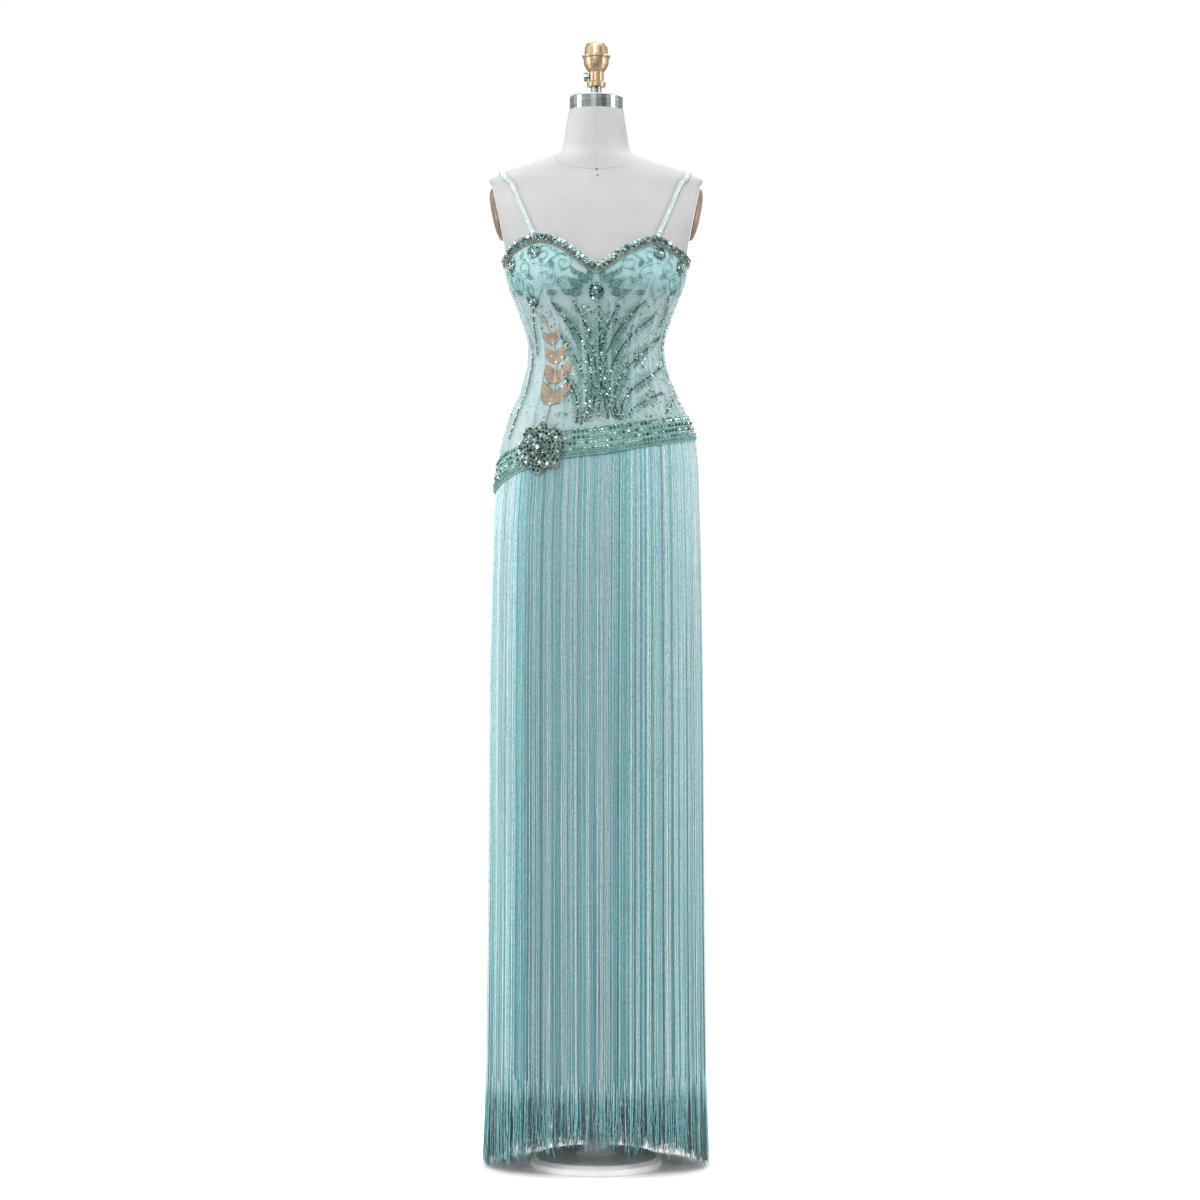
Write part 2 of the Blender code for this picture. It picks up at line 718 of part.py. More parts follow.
def column_step(u, v, sideways):
    """How much of a column makes one metre along the cloth, to the left or right of u."""
    far = np.clip(np.asarray(u, float) + 0.2 * sideways, 0, GRID_COLUMNS)
    span = np.linalg.norm(on_grid(far, v, 0.0) - on_grid(u, v, 0.0), axis=-1)
    return 0.2 / span


def seamed(start, end, v, inner=()):
    """Columns of a piece between two seams at each row, each side drawn in by half a seam gap."""
    v = np.asarray(v, float)
    half = SEAM_GAP / 2 * MM
    first = start + column_step(start, v, 1.0) * half
    last = end - column_step(end, v, -1.0) * half
    middle = inner if len(inner) else np.arange(math.floor(start) + 1, math.ceil(end))
    return np.column_stack([first, *(np.full(v.shape, u) for u in middle), last])


def make_bodice():
    rows = np.arange(ROW_COUNT)
    for name, left, right in PANELS:
        start, end = SEAM_COLUMNS[left], SEAM_COLUMNS[right]
        u = seamed(start, end, rows)
        v = np.broadcast_to(rows[:, None], u.shape)
        wall(name, on_grid(u, v, net_outer), on_grid(u, v, lambda z: net_lift(z)[0]), "net")


def make_casings():
    """Narrow domed channels for the bones, sewn over the net."""
    for word, column_out, top in CASINGS:
        for side, sign in (("left", -1), ("right", 1)):
            u = GRID_COLUMNS / 2 + sign * column_out
            angle = float(grid_angle(u, 1.45))
            under_trim = upright_width(u, TRIM_WIDTH) + 3 * SEAM_GAP * MM
            upper = top if top else float(neckline(angle)) - under_trim
            lower_angle = float(grid_angle(u, 1.18))
            lower = float(band_top(lower_angle)) + 4 * SEAM_GAP * MM
            first, last = row_at(u, upper), row_at(u, lower)
            between = np.arange(math.ceil(first + 0.1), math.floor(last - 0.1) + 1)
            v = np.array([first, *between, last])
            half = CASING_WIDTH / 2
            across = np.column_stack([u - column_step(u, v, -1.0) * half, np.full(v.shape, u),
                                      u + column_step(u, v, 1.0) * half])
            down = np.broadcast_to(v[:, None], across.shape)
            inner = on_grid(across, down, lambda z: net_outer(z) + CASING[0])
            outer = on_grid(across, down, lambda z: net_outer(z) + CASING[1])
            outer[:, 1] = on_grid(across, down, lambda z: net_outer(z) + CASING[2])[:, 1]
            wall(f"casing_{word}_{side}", outer, inner, "casing")


def make_cups():
    """Lined cups, joined at the centre front, that show through the net above the midriff."""
    middle = GRID_COLUMNS // 2
    rows = np.arange(CUP_ROWS)
    for name, start, end in (("cup_left", middle - CUP_COLUMNS, middle),
                             ("cup_right", middle, middle + CUP_COLUMNS)):
        u = seamed(start, end, rows)
        v = np.broadcast_to(rows[:, None], u.shape)
        wall(name, on_grid(u, v, CUP[1]), on_grid(u, v, CUP[0]), "cup_satin")


def upright_width(u, width):
    """A trim's width measured straight down, where the neckline slopes."""
    side = 1.0 if u < GRID_COLUMNS / 2 else -1.0
    here, beside = on_grid([u, u - 0.2 * side], 0.0, 0.0)
    run = math.hypot(*(beside - here)[:2])
    return width * math.hypot(1.0, (beside[2] - here[2]) / run)


def make_trims():
    """The beaded edge of the neckline, with a stone raised at every other step along the front."""
    for name, left, right, steps, width, stone_rise in TRIMS:
        u = np.linspace(SEAM_COLUMNS[left] if left is not None else GRID_COLUMNS / 2,
                        SEAM_COLUMNS[right] if right is not None else GRID_COLUMNS / 2, steps + 1)
        half = SEAM_GAP / 2 * MM
        u[0] += column_step(u[0], 0.0, 1.0) * half
        u[-1] -= column_step(u[-1], 0.0, -1.0) * half
        v = np.zeros((3, steps + 1))
        for at, across in enumerate(u):
            edge = float(on_grid(across, 0.0, 0.0)[2])
            drop = upright_width(across, width)
            v[1, at] = row_at(across, edge - 0.45 * drop)
            v[2, at] = row_at(across, edge - drop)
        across = np.broadcast_to(u, v.shape)
        foot = on_grid(across, v, lambda z: net_outer(z) + TRIM_LIFT)
        face = on_grid(across, v, lambda z: net_outer(z) + TRIM_LIFT + TRIM_EDGE_RISE)
        raised = on_grid(across, v, lambda z: net_outer(z) + TRIM_LIFT + stone_rise)
        plain = on_grid(across, v, lambda z: net_outer(z) + TRIM_LIFT + TRIM_PLAIN_RISE)
        stones = np.arange(steps + 1) % 2 == 1
        face[1] = np.where(stones[:, None], raised[1], plain[1])
        wall(name, face, foot, "beadwork")


def make_straps(steps=25):
    """Narrow beaded straps from the cups' peaks over the shoulders to the back neckline."""
    rows = len(STRAP_PATH)
    way = np.linspace(0, rows - 1, steps)
    angle = through(range(rows), column(STRAP_PATH, STRAP_PATH_COLUMNS, "angle"), way)
    z = through(range(rows), column(STRAP_PATH, STRAP_PATH_COLUMNS, "z"), way)
    for side, sign in (("left", -1.0), ("right", 1.0)):
        z[0] = neckline(sign * angle[0]) + STRAP_CLEAR
        z[-1] = neckline(sign * angle[-1]) + STRAP_CLEAR
        middle = skin(FORM, sign * angle, z)
        out = outward(FORM, sign * angle, z)
        along = np.gradient(middle, axis=0)
        along /= np.linalg.norm(along, axis=1, keepdims=True)
        sideways = np.cross(out, along) * STRAP_WIDTH / 2
        low, high = (middle + out * lift * MM for lift in STRAP)
        rings = [np.array([a - s, a + s, b + s, b - s])
                 for a, b, s in zip(low, high, sideways)]
        ringed(f"strap_{side}", rings, "beadwork")


def facing(turn):
    """An angle as it is read in the tables, from -180 to 180."""
    return (np.asarray(turn, float) + 180.0) % 360.0 - 180.0


def trim_seams(angle, z, millimetres):
    """Draws a piece's two side edges in by a distance, measured along the form."""
    trimmed = np.array(angle, float)
    for edge, sign in ((0, 1.0), (-1, -1.0)):
        at, height = trimmed[:, edge], z[:, edge]
        per_degree = np.linalg.norm(skin(FORM, at + 0.5, height) - skin(FORM, at - 0.5, height), axis=-1)
        trimmed[:, edge] = at + sign * millimetres * MM / per_degree
    return trimmed


def make_band():
    """The slanted band of bead rows round the hips, open at the centre back."""
    for name, start, end, steps in BAND_PIECES:
        turn = np.linspace(start, end, steps + 1)
        spread = np.clip(facing(turn), -180.0, 180.0)
        spread[turn >= 180.0] = 180.0
        spread[turn <= -180.0] = -180.0
        share, inner, outer = (np.array(column(BAND_SECTION, BAND_SECTION_COLUMNS, word))[:, None]
                               for word in BAND_SECTION_COLUMNS)
        z = band_top(spread) - band_width(spread) * share
        angle = trim_seams(np.broadcast_to(turn, z.shape), z, SEAM_GAP / 2)
        wall(name, lifted(FORM, angle, z, np.broadcast_to(outer, z.shape)),
             lifted(FORM, angle, z, np.broadcast_to(inner, z.shape)), "beadwork")


def make_slip():
    """The plain straight slip under the fringe, open at the centre back."""
    last = ROW_COUNT - 1
    for name, left, right in SLIP_PIECES:
        u = seamed(SEAM_COLUMNS[left], SEAM_COLUMNS[right], np.array([last]),
                   range(SEAM_COLUMNS[left] + 1, SEAM_COLUMNS[right]))[0]
        grid_row = GRID[0][last]
        angle = np.interp(u, np.arange(GRID_COLUMNS + 1), grid_row)
        walls = []
        for lift in (SLIP[1], SLIP[0]):
            top = on_grid(u, np.full(u.shape, float(last)), lift)
            middle_z = band_middle(angle)
            rows = [top - [0.0, 0.0, SEAM_GAP * MM]]
            rows.append(lifted(SLIP_SHAPE, angle, (middle_z + HIP_LEVEL) / 2, np.full(u.shape, lift)))
            for z in (HIP_LEVEL, *SLIP_LEVELS, SLIP_HEM):
                rows.append(lifted(SLIP_SHAPE, angle, np.full(u.shape, z), np.full(u.shape, lift)))
            walls.append(np.stack(rows))
        wall(name, walls[0], walls[1], "slip_satin")


def even_angles(shape, z, start, end, count):
    """Angles that step round a shape in equal lengths."""
    fine = np.linspace(start, end, 721)
    points = skin(shape, fine, np.full(fine.shape, z))
    length = np.concatenate([[0.0], np.cumsum(np.linalg.norm(np.diff(points, axis=0), axis=1))])
    return np.interp(np.linspace(0.0, length[-1], count), length, fine)


def make_fringe(name, start, end, strands, seed):
    """Strands hanging from a tape that lies under the band: one closed solid."""
    chance = np.random.default_rng(seed)
    edges = even_angles(FRINGE_SHAPE, 0.6, start, end, strands + 1)
    pitch = np.diff(edges)
    left = edges[:-1] + pitch * (1 - STRAND_SHARE) / 2
    right = edges[1:] - pitch * (1 - STRAND_SHARE) / 2
    turn = np.stack([left, right], axis=1).reshape(-1)
    low = band_low(turn)
    z = np.stack([low + TAPE_TOP, low + TAPE_LOW])
    tape = np.broadcast_to(turn, z.shape)
    outer = lifted(FORM, tape, z, np.full(z.shape, FRINGE_TAPE[1]))
    inner = lifted(FORM, tape, z, np.full(z.shape, FRINGE_TAPE[0]))
    count = len(turn)
    points = list(np.concatenate([outer[0], outer[1], inner[0], inner[1]]))
    faces = []

    def at(face, row, c):
        return (face * 2 + row) * count + c

    for c in range(count - 1):
        faces.append((at(0, 0, c), at(0, 1, c), at(0, 1, c + 1), at(0, 0, c + 1)))
        faces.append((at(1, 0, c), at(1, 0, c + 1), at(1, 1, c + 1), at(1, 1, c)))
        faces.append((at(0, 0, c), at(0, 0, c + 1), at(1, 0, c + 1), at(1, 0, c)))
        if c % 2:
            faces.append((at(0, 1, c + 1), at(0, 1, c), at(1, 1, c), at(1, 1, c + 1)))
    last = count - 1
    faces.append((at(0, 0, 0), at(1, 0, 0), at(1, 1, 0), at(0, 1, 0)))
    faces.append((at(0, 0, last), at(0, 1, last), at(1, 1, last), at(1, 0, last)))

    half_thick = (FRINGE_TAPE[1] - FRINGE_TAPE[0]) / 2 * MM
    over_hip = sum(FRINGE_TAPE) / 2 + FRINGE_LIFT_OFF
    for strand in range(strands):
        c = strand * 2
        ring = [at(0, 1, c), at(0, 1, c + 1), at(1, 1, c + 1), at(1, 1, c)]
        here = np.array([turn[c], turn[c + 1]])
        tip = through(column(FRINGE_ENDS, FRINGE_ENDS_COLUMNS, "angle"),
                      column(FRINGE_ENDS, FRINGE_ENDS_COLUMNS, "z"), here.mean())
        tip = float(tip) + FRINGE_UNEVEN * chance.uniform(-0.6, 1.0)
        sway = chance.uniform(-1.0, 1.0, 2) * FRINGE_SWAY
        first_level = float(z[1, c]) - 0.040
        stations = ((first_level, over_hip, FORM, 1.0), (FRINGE_FREE, 0.0, FRINGE_SHAPE, 1.0),
                    (tip, 0.0, FRINGE_SHAPE, 0.6))
        for level, lift, shape, share in stations:
            core = lifted(shape, here, np.full(2, level), np.full(2, lift))
            away = outward(shape, here, np.full(2, level)) * [1.0, 1.0, 0.0]
            side = core[1] - core[0]
            side /= np.linalg.norm(side)
            if share < 1.0:
                centre = core.mean(axis=0) + side * sway[0] + away.mean(axis=0) * sway[1]
                core = centre + (core - core.mean(axis=0)) * share
            deep = away * half_thick * share
            first = len(points)
            points += [core[0] + deep[0], core[1] + deep[1], core[1] - deep[1], core[0] - deep[0]]
            for p in points[first:]:
                p[2] = level
            fresh = [first, first + 1, first + 2, first + 3]
            for k in range(4):
                n = (k + 1) % 4
                faces.append((ring[k], fresh[k], fresh[n], ring[n]))
            ring = fresh
        faces.append(tuple(reversed(ring)))
    new_object(name, points, faces, "fringe")


def make_rosette(name, angle, z, radius, petals, rise, lift):
    """A flower of stones: petals raised in the outer face over a plain underside."""
    large = radius > 0.02
    cols = petals * (4 if large else 2)
    rings = (0.36, 0.72, 1.0) if large else (0.45, 1.0)
    turn = np.arange(cols) * 2 * math.pi / cols
    petal = 0.5 + 0.5 * np.cos(petals * turn)
    base = np.array([angle]), np.array([z])
    per_degree = np.linalg.norm(skin(FORM, base[0] + 0.5, base[1]) - skin(FORM, base[0] - 0.5, base[1]))
    under = lift if large else float(net_outer(z)) + lift
    tops, bottoms = [], []
    for share in (0.0, *rings):
        reach = radius * share * (1.0 - PETAL_NOTCH * share * (1.0 - petal))
        around = angle + reach * np.cos(turn) / per_degree
        height = z + reach * np.sin(turn)
        dome = 1.0 - 0.55 * share ** 2
        ridge = 1.0 if share == 0.0 else 0.55 + 0.45 * petal
        lift_here = np.full(cols, rise * dome) * ridge
        if share == 1.0:
            lift_here = np.full(cols, 1.2)
        tops.append(lifted(FORM, around, height, under + lift_here))
        bottoms.append(lifted(FORM, around, height, np.full(cols, under)))
    points = [tops[0][0], bottoms[0][0]]
    points += [p for ring in tops[1:] for p in ring]
    points += [p for ring in bottoms[1:] for p in ring]
    level = len(rings)

    def top(k, c):
        return 2 + k * cols + c % cols

    def low(k, c):
        return 2 + (level + k) * cols + c % cols

    faces = []
    for c in range(cols):
        faces.append((0, top(0, c), top(0, c + 1)))
        faces.append((1, low(0, c + 1), low(0, c)))
        for k in range(level - 1):
            faces.append((top(k, c), top(k + 1, c), top(k + 1, c + 1), top(k, c + 1)))
            faces.append((low(k, c + 1), low(k + 1, c + 1), low(k + 1, c), low(k, c)))
        faces.append((top(level - 1, c), low(level - 1, c), low(level - 1, c + 1), top(level - 1, c + 1)))
    new_object(name, points, faces, "stones", smooth=60)


GRID = make_grid()


def main():
    clear_scene()
    make_torso()
    make_arm_plates()
    make_stand()
    make_cups()
    make_bodice()
    make_casings()
    make_trims()
    make_straps()
    make_band()
    make_slip()
    for seed, piece in enumerate(FRINGE_PIECES):
        make_fringe(*piece, seed)
    for row in ROSETTES:
        make_rosette(**dict(zip(ROSETTE_COLUMNS, row)))


main()
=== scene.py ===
import math

import bpy
import numpy as np
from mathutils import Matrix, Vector


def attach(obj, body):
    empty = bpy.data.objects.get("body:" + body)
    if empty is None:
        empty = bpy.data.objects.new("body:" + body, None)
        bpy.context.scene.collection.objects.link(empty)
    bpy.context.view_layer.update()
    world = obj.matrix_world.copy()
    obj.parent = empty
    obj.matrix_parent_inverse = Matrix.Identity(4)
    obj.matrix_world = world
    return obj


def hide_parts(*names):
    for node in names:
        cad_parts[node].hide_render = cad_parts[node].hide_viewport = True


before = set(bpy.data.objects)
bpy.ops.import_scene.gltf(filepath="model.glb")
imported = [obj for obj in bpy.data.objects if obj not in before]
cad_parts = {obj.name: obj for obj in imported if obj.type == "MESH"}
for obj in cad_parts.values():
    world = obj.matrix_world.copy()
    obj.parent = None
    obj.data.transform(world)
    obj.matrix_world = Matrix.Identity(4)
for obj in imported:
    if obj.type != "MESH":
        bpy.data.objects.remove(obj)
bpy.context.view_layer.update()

BODY = "gown_on_form"
MM = 0.001

# The photograph, 1200 by 1200, shows 1.92 m across at the form's axis, seen level from 4.8 m.
VIEW_WIDTH = 1.92
VIEW_DISTANCE = 4.8
VIEW_SIDE = 0.006
VIEW_HEIGHT = 0.904
FILM_WIDTH = 36.0

# The form: a row for each level. corner is 1 for an ellipse and less for a squarer section,
# cut is how far a section would go past its half width without the flat of the armhole.
FORM_COLUMNS = ("z", "half_width", "front", "back", "shift", "corner", "cut")
FORM = (
    (0.800, 0.1460, 0.090, 0.102, 0.0000, 0.96, 1.00),
    (0.900, 0.1505, 0.096, 0.112, 0.0000, 0.95, 1.00),
    (0.980, 0.1555, 0.101, 0.120, 0.0003, 0.94, 1.00),
    (1.040, 0.1590, 0.104, 0.125, 0.0010, 0.93, 1.00),
    (1.090, 0.1580, 0.105, 0.126, 0.0020, 0.93, 1.00),
    (1.120, 0.1560, 0.104, 0.124, 0.0026, 0.92, 1.00),
    (1.150, 0.1525, 0.101, 0.120, 0.0030, 0.92, 1.00),
    (1.180, 0.1445, 0.097, 0.113, 0.0030, 0.92, 1.00),
    (1.205, 0.1360, 0.094, 0.107, 0.0030, 0.92, 1.00),
    (1.230, 0.1240, 0.090, 0.099, 0.0030, 0.92, 1.00),
    (1.256, 0.1148, 0.086, 0.091, 0.0016, 0.93, 1.00),
    (1.282, 0.1076, 0.083, 0.085, 0.0008, 0.94, 1.00),
    (1.307, 0.1058, 0.082, 0.083, 0.0000, 0.94, 1.00),
    (1.333, 0.1100, 0.085, 0.085, 0.0000, 0.93, 1.00),
    (1.358, 0.1175, 0.092, 0.089, 0.0000, 0.92, 1.00),
    (1.384, 0.1275, 0.101, 0.094, 0.0000, 0.91, 1.00),
    (1.410, 0.1375, 0.106, 0.098, 0.0000, 0.90, 1.00),
    (1.435, 0.1425, 0.104, 0.101, 0.0000, 0.88, 1.00),
    (1.455, 0.1440, 0.100, 0.102, 0.0000, 0.87, 1.01),
    (1.4736, 0.1467, 0.095, 0.102, 0.0000, 0.86, 1.03),
    (1.500, 0.1520, 0.087, 0.100, 0.0000, 0.86, 1.07),
    (1.525, 0.1570, 0.079, 0.096, 0.0000, 0.86, 1.08),
    (1.550, 0.1620, 0.071, 0.089, 0.0000, 0.87, 1.06),
    (1.566, 0.1654, 0.065, 0.081, 0.0000, 0.89, 1.03),
    (1.5725, 0.1703, 0.063, 0.078, 0.0000, 0.90, 1.01),
    (1.5765, 0.1690, 0.061, 0.075, -0.0008, 0.92, 1.00),
    (1.5862, 0.1510, 0.058, 0.069, -0.0015, 0.96, 1.00),
    (1.5988, 0.1136, 0.055, 0.063, -0.0020, 1.00, 1.00),
    (1.6112, 0.0768, 0.052, 0.058, -0.0020, 1.00, 1.00),
    (1.6170, 0.0585, 0.050, 0.054, -0.0012, 1.00, 1.00),
    (1.6262, 0.0535, 0.048, 0.051, -0.0008, 1.00, 1.00),
    (1.648, 0.0500, 0.0465, 0.048, -0.0006, 1.00, 1.00),
    (1.668, 0.0468, 0.045, 0.045, -0.0003, 1.00, 1.00),
    (1.687, 0.0436, 0.0436, 0.0436, 0.0000, 1.00, 1.00),
)
BUST_RISE = 0.015
BUST_HEIGHT = 1.412
BUST_TALL = 0.036
BUST_ANGLE = 36.0
BUST_WIDE = 22.0

SLIP_DROP = (
    (0.122, 0.1535, 0.1050, 0.1230, 0.0, 1.00, 1.0),
    (0.450, 0.1560, 0.1060, 0.1260, 0.0, 0.97, 1.0),
    (0.800, 0.1580, 0.1060, 0.1280, 0.0, 0.95, 1.0),
    (1.000, 0.1592, 0.1055, 0.1275, 0.0006, 0.93, 1.0),
)
FRINGE_DROP = (
    (0.000, 0.1760, 0.1240, 0.1400, 0.0, 1.00, 1.0),
    (0.123, 0.1745, 0.1220, 0.1390, 0.0, 0.99, 1.0),
    (0.427, 0.1710, 0.1180, 0.1370, 0.0, 0.97, 1.0),
    (0.747, 0.1690, 0.1140, 0.1350, 0.0, 0.95, 1.0),
    (1.000, 0.1655, 0.1110, 0.1325, 0.0006, 0.93, 1.0),
    (1.060, 0.1640, 0.1096, 0.1310, 0.0014, 0.93, 1.0),
)
SLIP_HEM = 0.122

# Angles run round the form from the centre front, 0, to its right side, 90, and the back, 180.
NECKLINE = (
    (-180.0, 1.4330),
    (-140.0, 1.4370),
    (-110.0, 1.4440),
    (-90.0, 1.4480),
    (-77.0, 1.4517),
    (-67.0, 1.4605),
    (-52.0, 1.4710),
    (-43.0, 1.4765),
    (-35.0, 1.4800),
    (-29.0, 1.4790),
    (-24.8, 1.4768),
    (-18.2, 1.4697),
    (-13.5, 1.4615),
    (-5.5, 1.4430),
    (0.0, 1.4307),
    (5.5, 1.4412),
    (12.0, 1.4543),
    (18.5, 1.4643),
    (25.0, 1.4710),
    (33.5, 1.4762),
    (40.2, 1.4730),
    (47.0, 1.4675),
    (55.0, 1.4620),
    (65.0, 1.4565),
    (79.5, 1.4500),
    (90.0, 1.4475),
    (110.0, 1.4440),
    (140.0, 1.4370),
    (180.0, 1.4330),
)
# Columns: angle, middle, width
HIP_BAND = (
    (-180.0, 1.1380, 0.0440),
    (-150.0, 1.1180, 0.0460),
    (-120.0, 1.1020, 0.0480),
    (-90.0, 1.0980, 0.0500),
    (-68.0, 1.1130, 0.0480),
    (-45.0, 1.1297, 0.0440),
    (-18.0, 1.1480, 0.0445),
    (0.0, 1.1538, 0.0445),
    (25.0, 1.1640, 0.0415),
    (55.0, 1.1730, 0.0395),
    (90.0, 1.1780, 0.0395),
    (120.0, 1.1710, 0.0400),
    (150.0, 1.1570, 0.0420),
    (180.0, 1.1380, 0.0440),
)
LINE_HEIGHTS = (1.100, 1.190, 1.307, 1.415, 1.470)
PRINCESS = (20.0, 22.0, 30.0, 33.0, 36.0)
SIDE = 90.0
STRAP_PATH = (
    (36.2, 1.4810),
    (36.8, 1.4860),
    (38.0, 1.500),
    (40.0, 1.518),
    (42.6, 1.536),
    (46.5, 1.554),
    (51.7, 1.5685),
    (57.2, 1.5758),
    (62.9, 1.5805),
    (70.0, 1.5836),
    (79.0, 1.5859),
    (90.0, 1.5869),
    (101.0, 1.5854),
    (112.0, 1.5800),
    (122.0, 1.5665),
    (131.0, 1.540),
    (140.0, 1.490),
    (145.6, 1.450),
    (146.0, 1.4370),
)
FRINGE_ENDS = (
    (-180.0, 0.014),
    (-120.0, 0.012),
    (-90.0, 0.010),
    (-60.0, 0.020),
    (-45.0, 0.030),
    (-30.0, 0.038),
    (-15.0, 0.055),
    (0.0, 0.052),
    (15.0, 0.052),
    (35.0, 0.047),
    (47.0, 0.041),
    (60.0, 0.029),
    (75.0, 0.021),
    (90.0, 0.013),
    (120.0, 0.012),
    (180.0, 0.014),
)
# Columns: name, angle, z, radius in millimetres
ROSETTES = (
    ("rosette_left_cup", -37.5, 1.4495, 10.5),
    ("rosette_right_cup", 38.0, 1.4465, 10.0),
    ("rosette_left_side", -62.5, 1.4345, 11.0),
    ("rosette_right_side", 62.0, 1.4290, 10.5),
    ("rosette_centre", 0.0, 1.3880, 13.5),
    ("rosette_left_waist", -48.0, 1.3770, 10.0),
)
# Angle, z, radius in millimetres
HIP_ROSETTE = (-33.5, 1.1425, 39.5)

# Millimetres out from the form
CUP_LIFT = 0.9
NET_LIFT = 1.3
NET_OVER_CUP = 1.4
CASING_LIFT = 0.8
TRIM_LIFT = 1.2
BAND_LIFT = 4.2
YARN_LIFT = 3.8

# Metres
TRIM_WIDTH = 0.0150
BACK_TRIM_WIDTH = 0.008
STRAP_CLEAR = 0.0010
STRAP_WIDTH = 0.0065
CASING_WIDTH = 0.007

# How much a stone leans at random
STONE_TILT = 0.22
# Heights between which the cups fade in
CUP_FADE = (1.376, 1.412)
# Metres of flat map for each degree round the form
FLAT_DEGREE = 0.0023
# Degrees between faces, from which their edge isn't smoothed
SHARP_EDGE = 50.0
# The rosette radius, in millimetres, that the sizes of the small rosettes' stones are for
USUAL_RADIUS = 10.5
# The angle at which cloth ends beside the opening of the centre back
BESIDE_OPENING = 179.9
# The pieces of cloth that is seamed at the sides and open at the back, and the angles they span
SIDE_SEAMED = (("back_left", -179.9, -90.1), ("front", -89.9, 89.9), ("back_right", 90.1, 179.9))


def through(knots, values, at):
    """A smooth curve through a table's rows that never swings past them."""
    knots, values = np.asarray(knots, float), np.asarray(values, float)
    steps = np.diff(knots)
    slopes = np.diff(values) / steps
    lean = np.zeros(len(knots))
    lean[0], lean[-1] = slopes[0], slopes[-1]
    before, after = slopes[:-1], slopes[1:]
    turning = before * after <= 0
    first, second = 2 * steps[1:] + steps[:-1], steps[1:] + 2 * steps[:-1]
    safe_before = np.where(turning, 1.0, before)
    safe_after = np.where(turning, 1.0, after)
    mean = (first + second) / (first / safe_before + second / safe_after)
    lean[1:-1] = np.where(turning, 0.0, mean)
    at = np.clip(np.asarray(at, float), knots[0], knots[-1])
    row = np.clip(np.searchsorted(knots, at, side="right") - 1, 0, len(knots) - 2)
    step = steps[row]
    t = (at - knots[row]) / step
    rise = (1 + 2 * t) * (1 - t) ** 2 * values[row] + t * t * (3 - 2 * t) * values[row + 1]
    bend = t * (1 - t) ** 2 * lean[row] + t * t * (t - 1) * lean[row + 1]
    return rise + step * bend


def pick(table, index):
    return [row[index] for row in table]


def hanging(drop):
    """The form's rows from the hips up, with a straight hang below them."""
    return drop + tuple(row for row in FORM if row[0] > drop[-1][0] + 0.01)


SLIP_SHAPE = hanging(SLIP_DROP)
FRINGE_SHAPE = hanging(FRINGE_DROP)


def skin(shape, angle, z):
    """Points of a shape at angles in degrees and heights in metres."""
    angle, z = np.broadcast_arrays(np.asarray(angle, float), np.asarray(z, float))
    level = pick(shape, 0)
    half, front, back, shift, corner, cut = (
        through(level, pick(shape, index), z) for index in range(1, len(FORM_COLUMNS))
    )
    turn = np.radians(angle)
    across = np.sign(np.sin(turn)) * np.abs(np.sin(turn)) ** corner
    along = np.sign(np.cos(turn)) * np.abs(np.cos(turn)) ** corner
    x = np.clip(half * cut * across, -half, half)
    y = np.where(along > 0, -front * along, -back * along)
    facing = (angle + 180.0) % 360.0 - 180.0
    tall = np.exp(-(((z - BUST_HEIGHT) / BUST_TALL) ** 2))
    swell = sum(np.exp(-(((facing - side) / BUST_WIDE) ** 2)) for side in (-BUST_ANGLE, BUST_ANGLE))
    rise = BUST_RISE * tall * swell
    return np.stack([x + shift + rise * np.sin(turn), y - rise * np.cos(turn), z], axis=-1)


def outward(shape, angle, z):
    """Unit vectors that point straight out of a shape."""
    turn, climb = 0.5, 0.0005
    around = skin(shape, angle + turn, z) - skin(shape, angle - turn, z)
    up = skin(shape, angle, z + climb) - skin(shape, angle, z - climb)
    normal = np.cross(around, up)
    return normal / np.linalg.norm(normal, axis=-1, keepdims=True)


def lifted(shape, angle, z, millimetres):
    """Points of a shape, moved straight out."""
    angle, z = np.broadcast_arrays(np.asarray(angle, float), np.asarray(z, float))
    out = np.broadcast_to(np.asarray(millimetres, float), z.shape)[..., None] * MM
    return skin(shape, angle, z) + outward(shape, angle, z) * out


def neckline(angle):
    """The neckline's height. Each half has its own curve, so the two meet in a point."""
    turn, z = pick(NECKLINE, 0), pick(NECKLINE, 1)
    point = list(turn).index(0.0)
    left = through(turn[:point + 1], z[:point + 1], angle)
    right = through(turn[point:], z[point:], angle)
    return np.where(np.asarray(angle) < 0.0, left, right)


def band_middle(angle):
    return through(pick(HIP_BAND, 0), pick(HIP_BAND, 1), angle)


def band_width(angle):
    return through(pick(HIP_BAND, 0), pick(HIP_BAND, 2), angle)


def band_height(angle, share):
    """A height on the band: share is 0 at its top edge and 1 at its lower one."""
    return band_middle(angle) + band_width(angle) * (0.5 - share)


def over_cup(z):
    return NET_OVER_CUP * np.clip((np.asarray(z, float) - 1.325) / 0.030, 0.0, 1.0)


def net_lift(z):
    return NET_LIFT + over_cup(z)


def metres_per_degree(angle, z):
    return np.linalg.norm(skin(FORM, angle + 0.5, z) - skin(FORM, angle - 0.5, z), axis=-1)


def beside(angle, z, right, up):
    """Angles and heights of places some metres to the right of and above a place on the form."""
    return angle + right / metres_per_degree(angle, z), z + up


def spaced(angle, z, pitch):
    """A line on the form, walked in equal steps."""
    points = skin(FORM, angle, z)
    length = np.concatenate([[0.0], np.cumsum(np.linalg.norm(np.diff(points, axis=0), axis=1))])
    stops = np.arange(max(2, int(length[-1] / pitch) + 1)) * pitch
    return np.interp(stops, length, angle), np.interp(stops, length, z)


# Finishes

def shade(red, green, blue):
    """A colour as it looks, each part from 0 to 255, in Blender's own numbers."""
    parts = np.array([red, green, blue]) / 255.0
    return tuple(np.where(parts > 0.04045, ((parts + 0.055) / 1.055) ** 2.4, parts / 12.92).tolist())


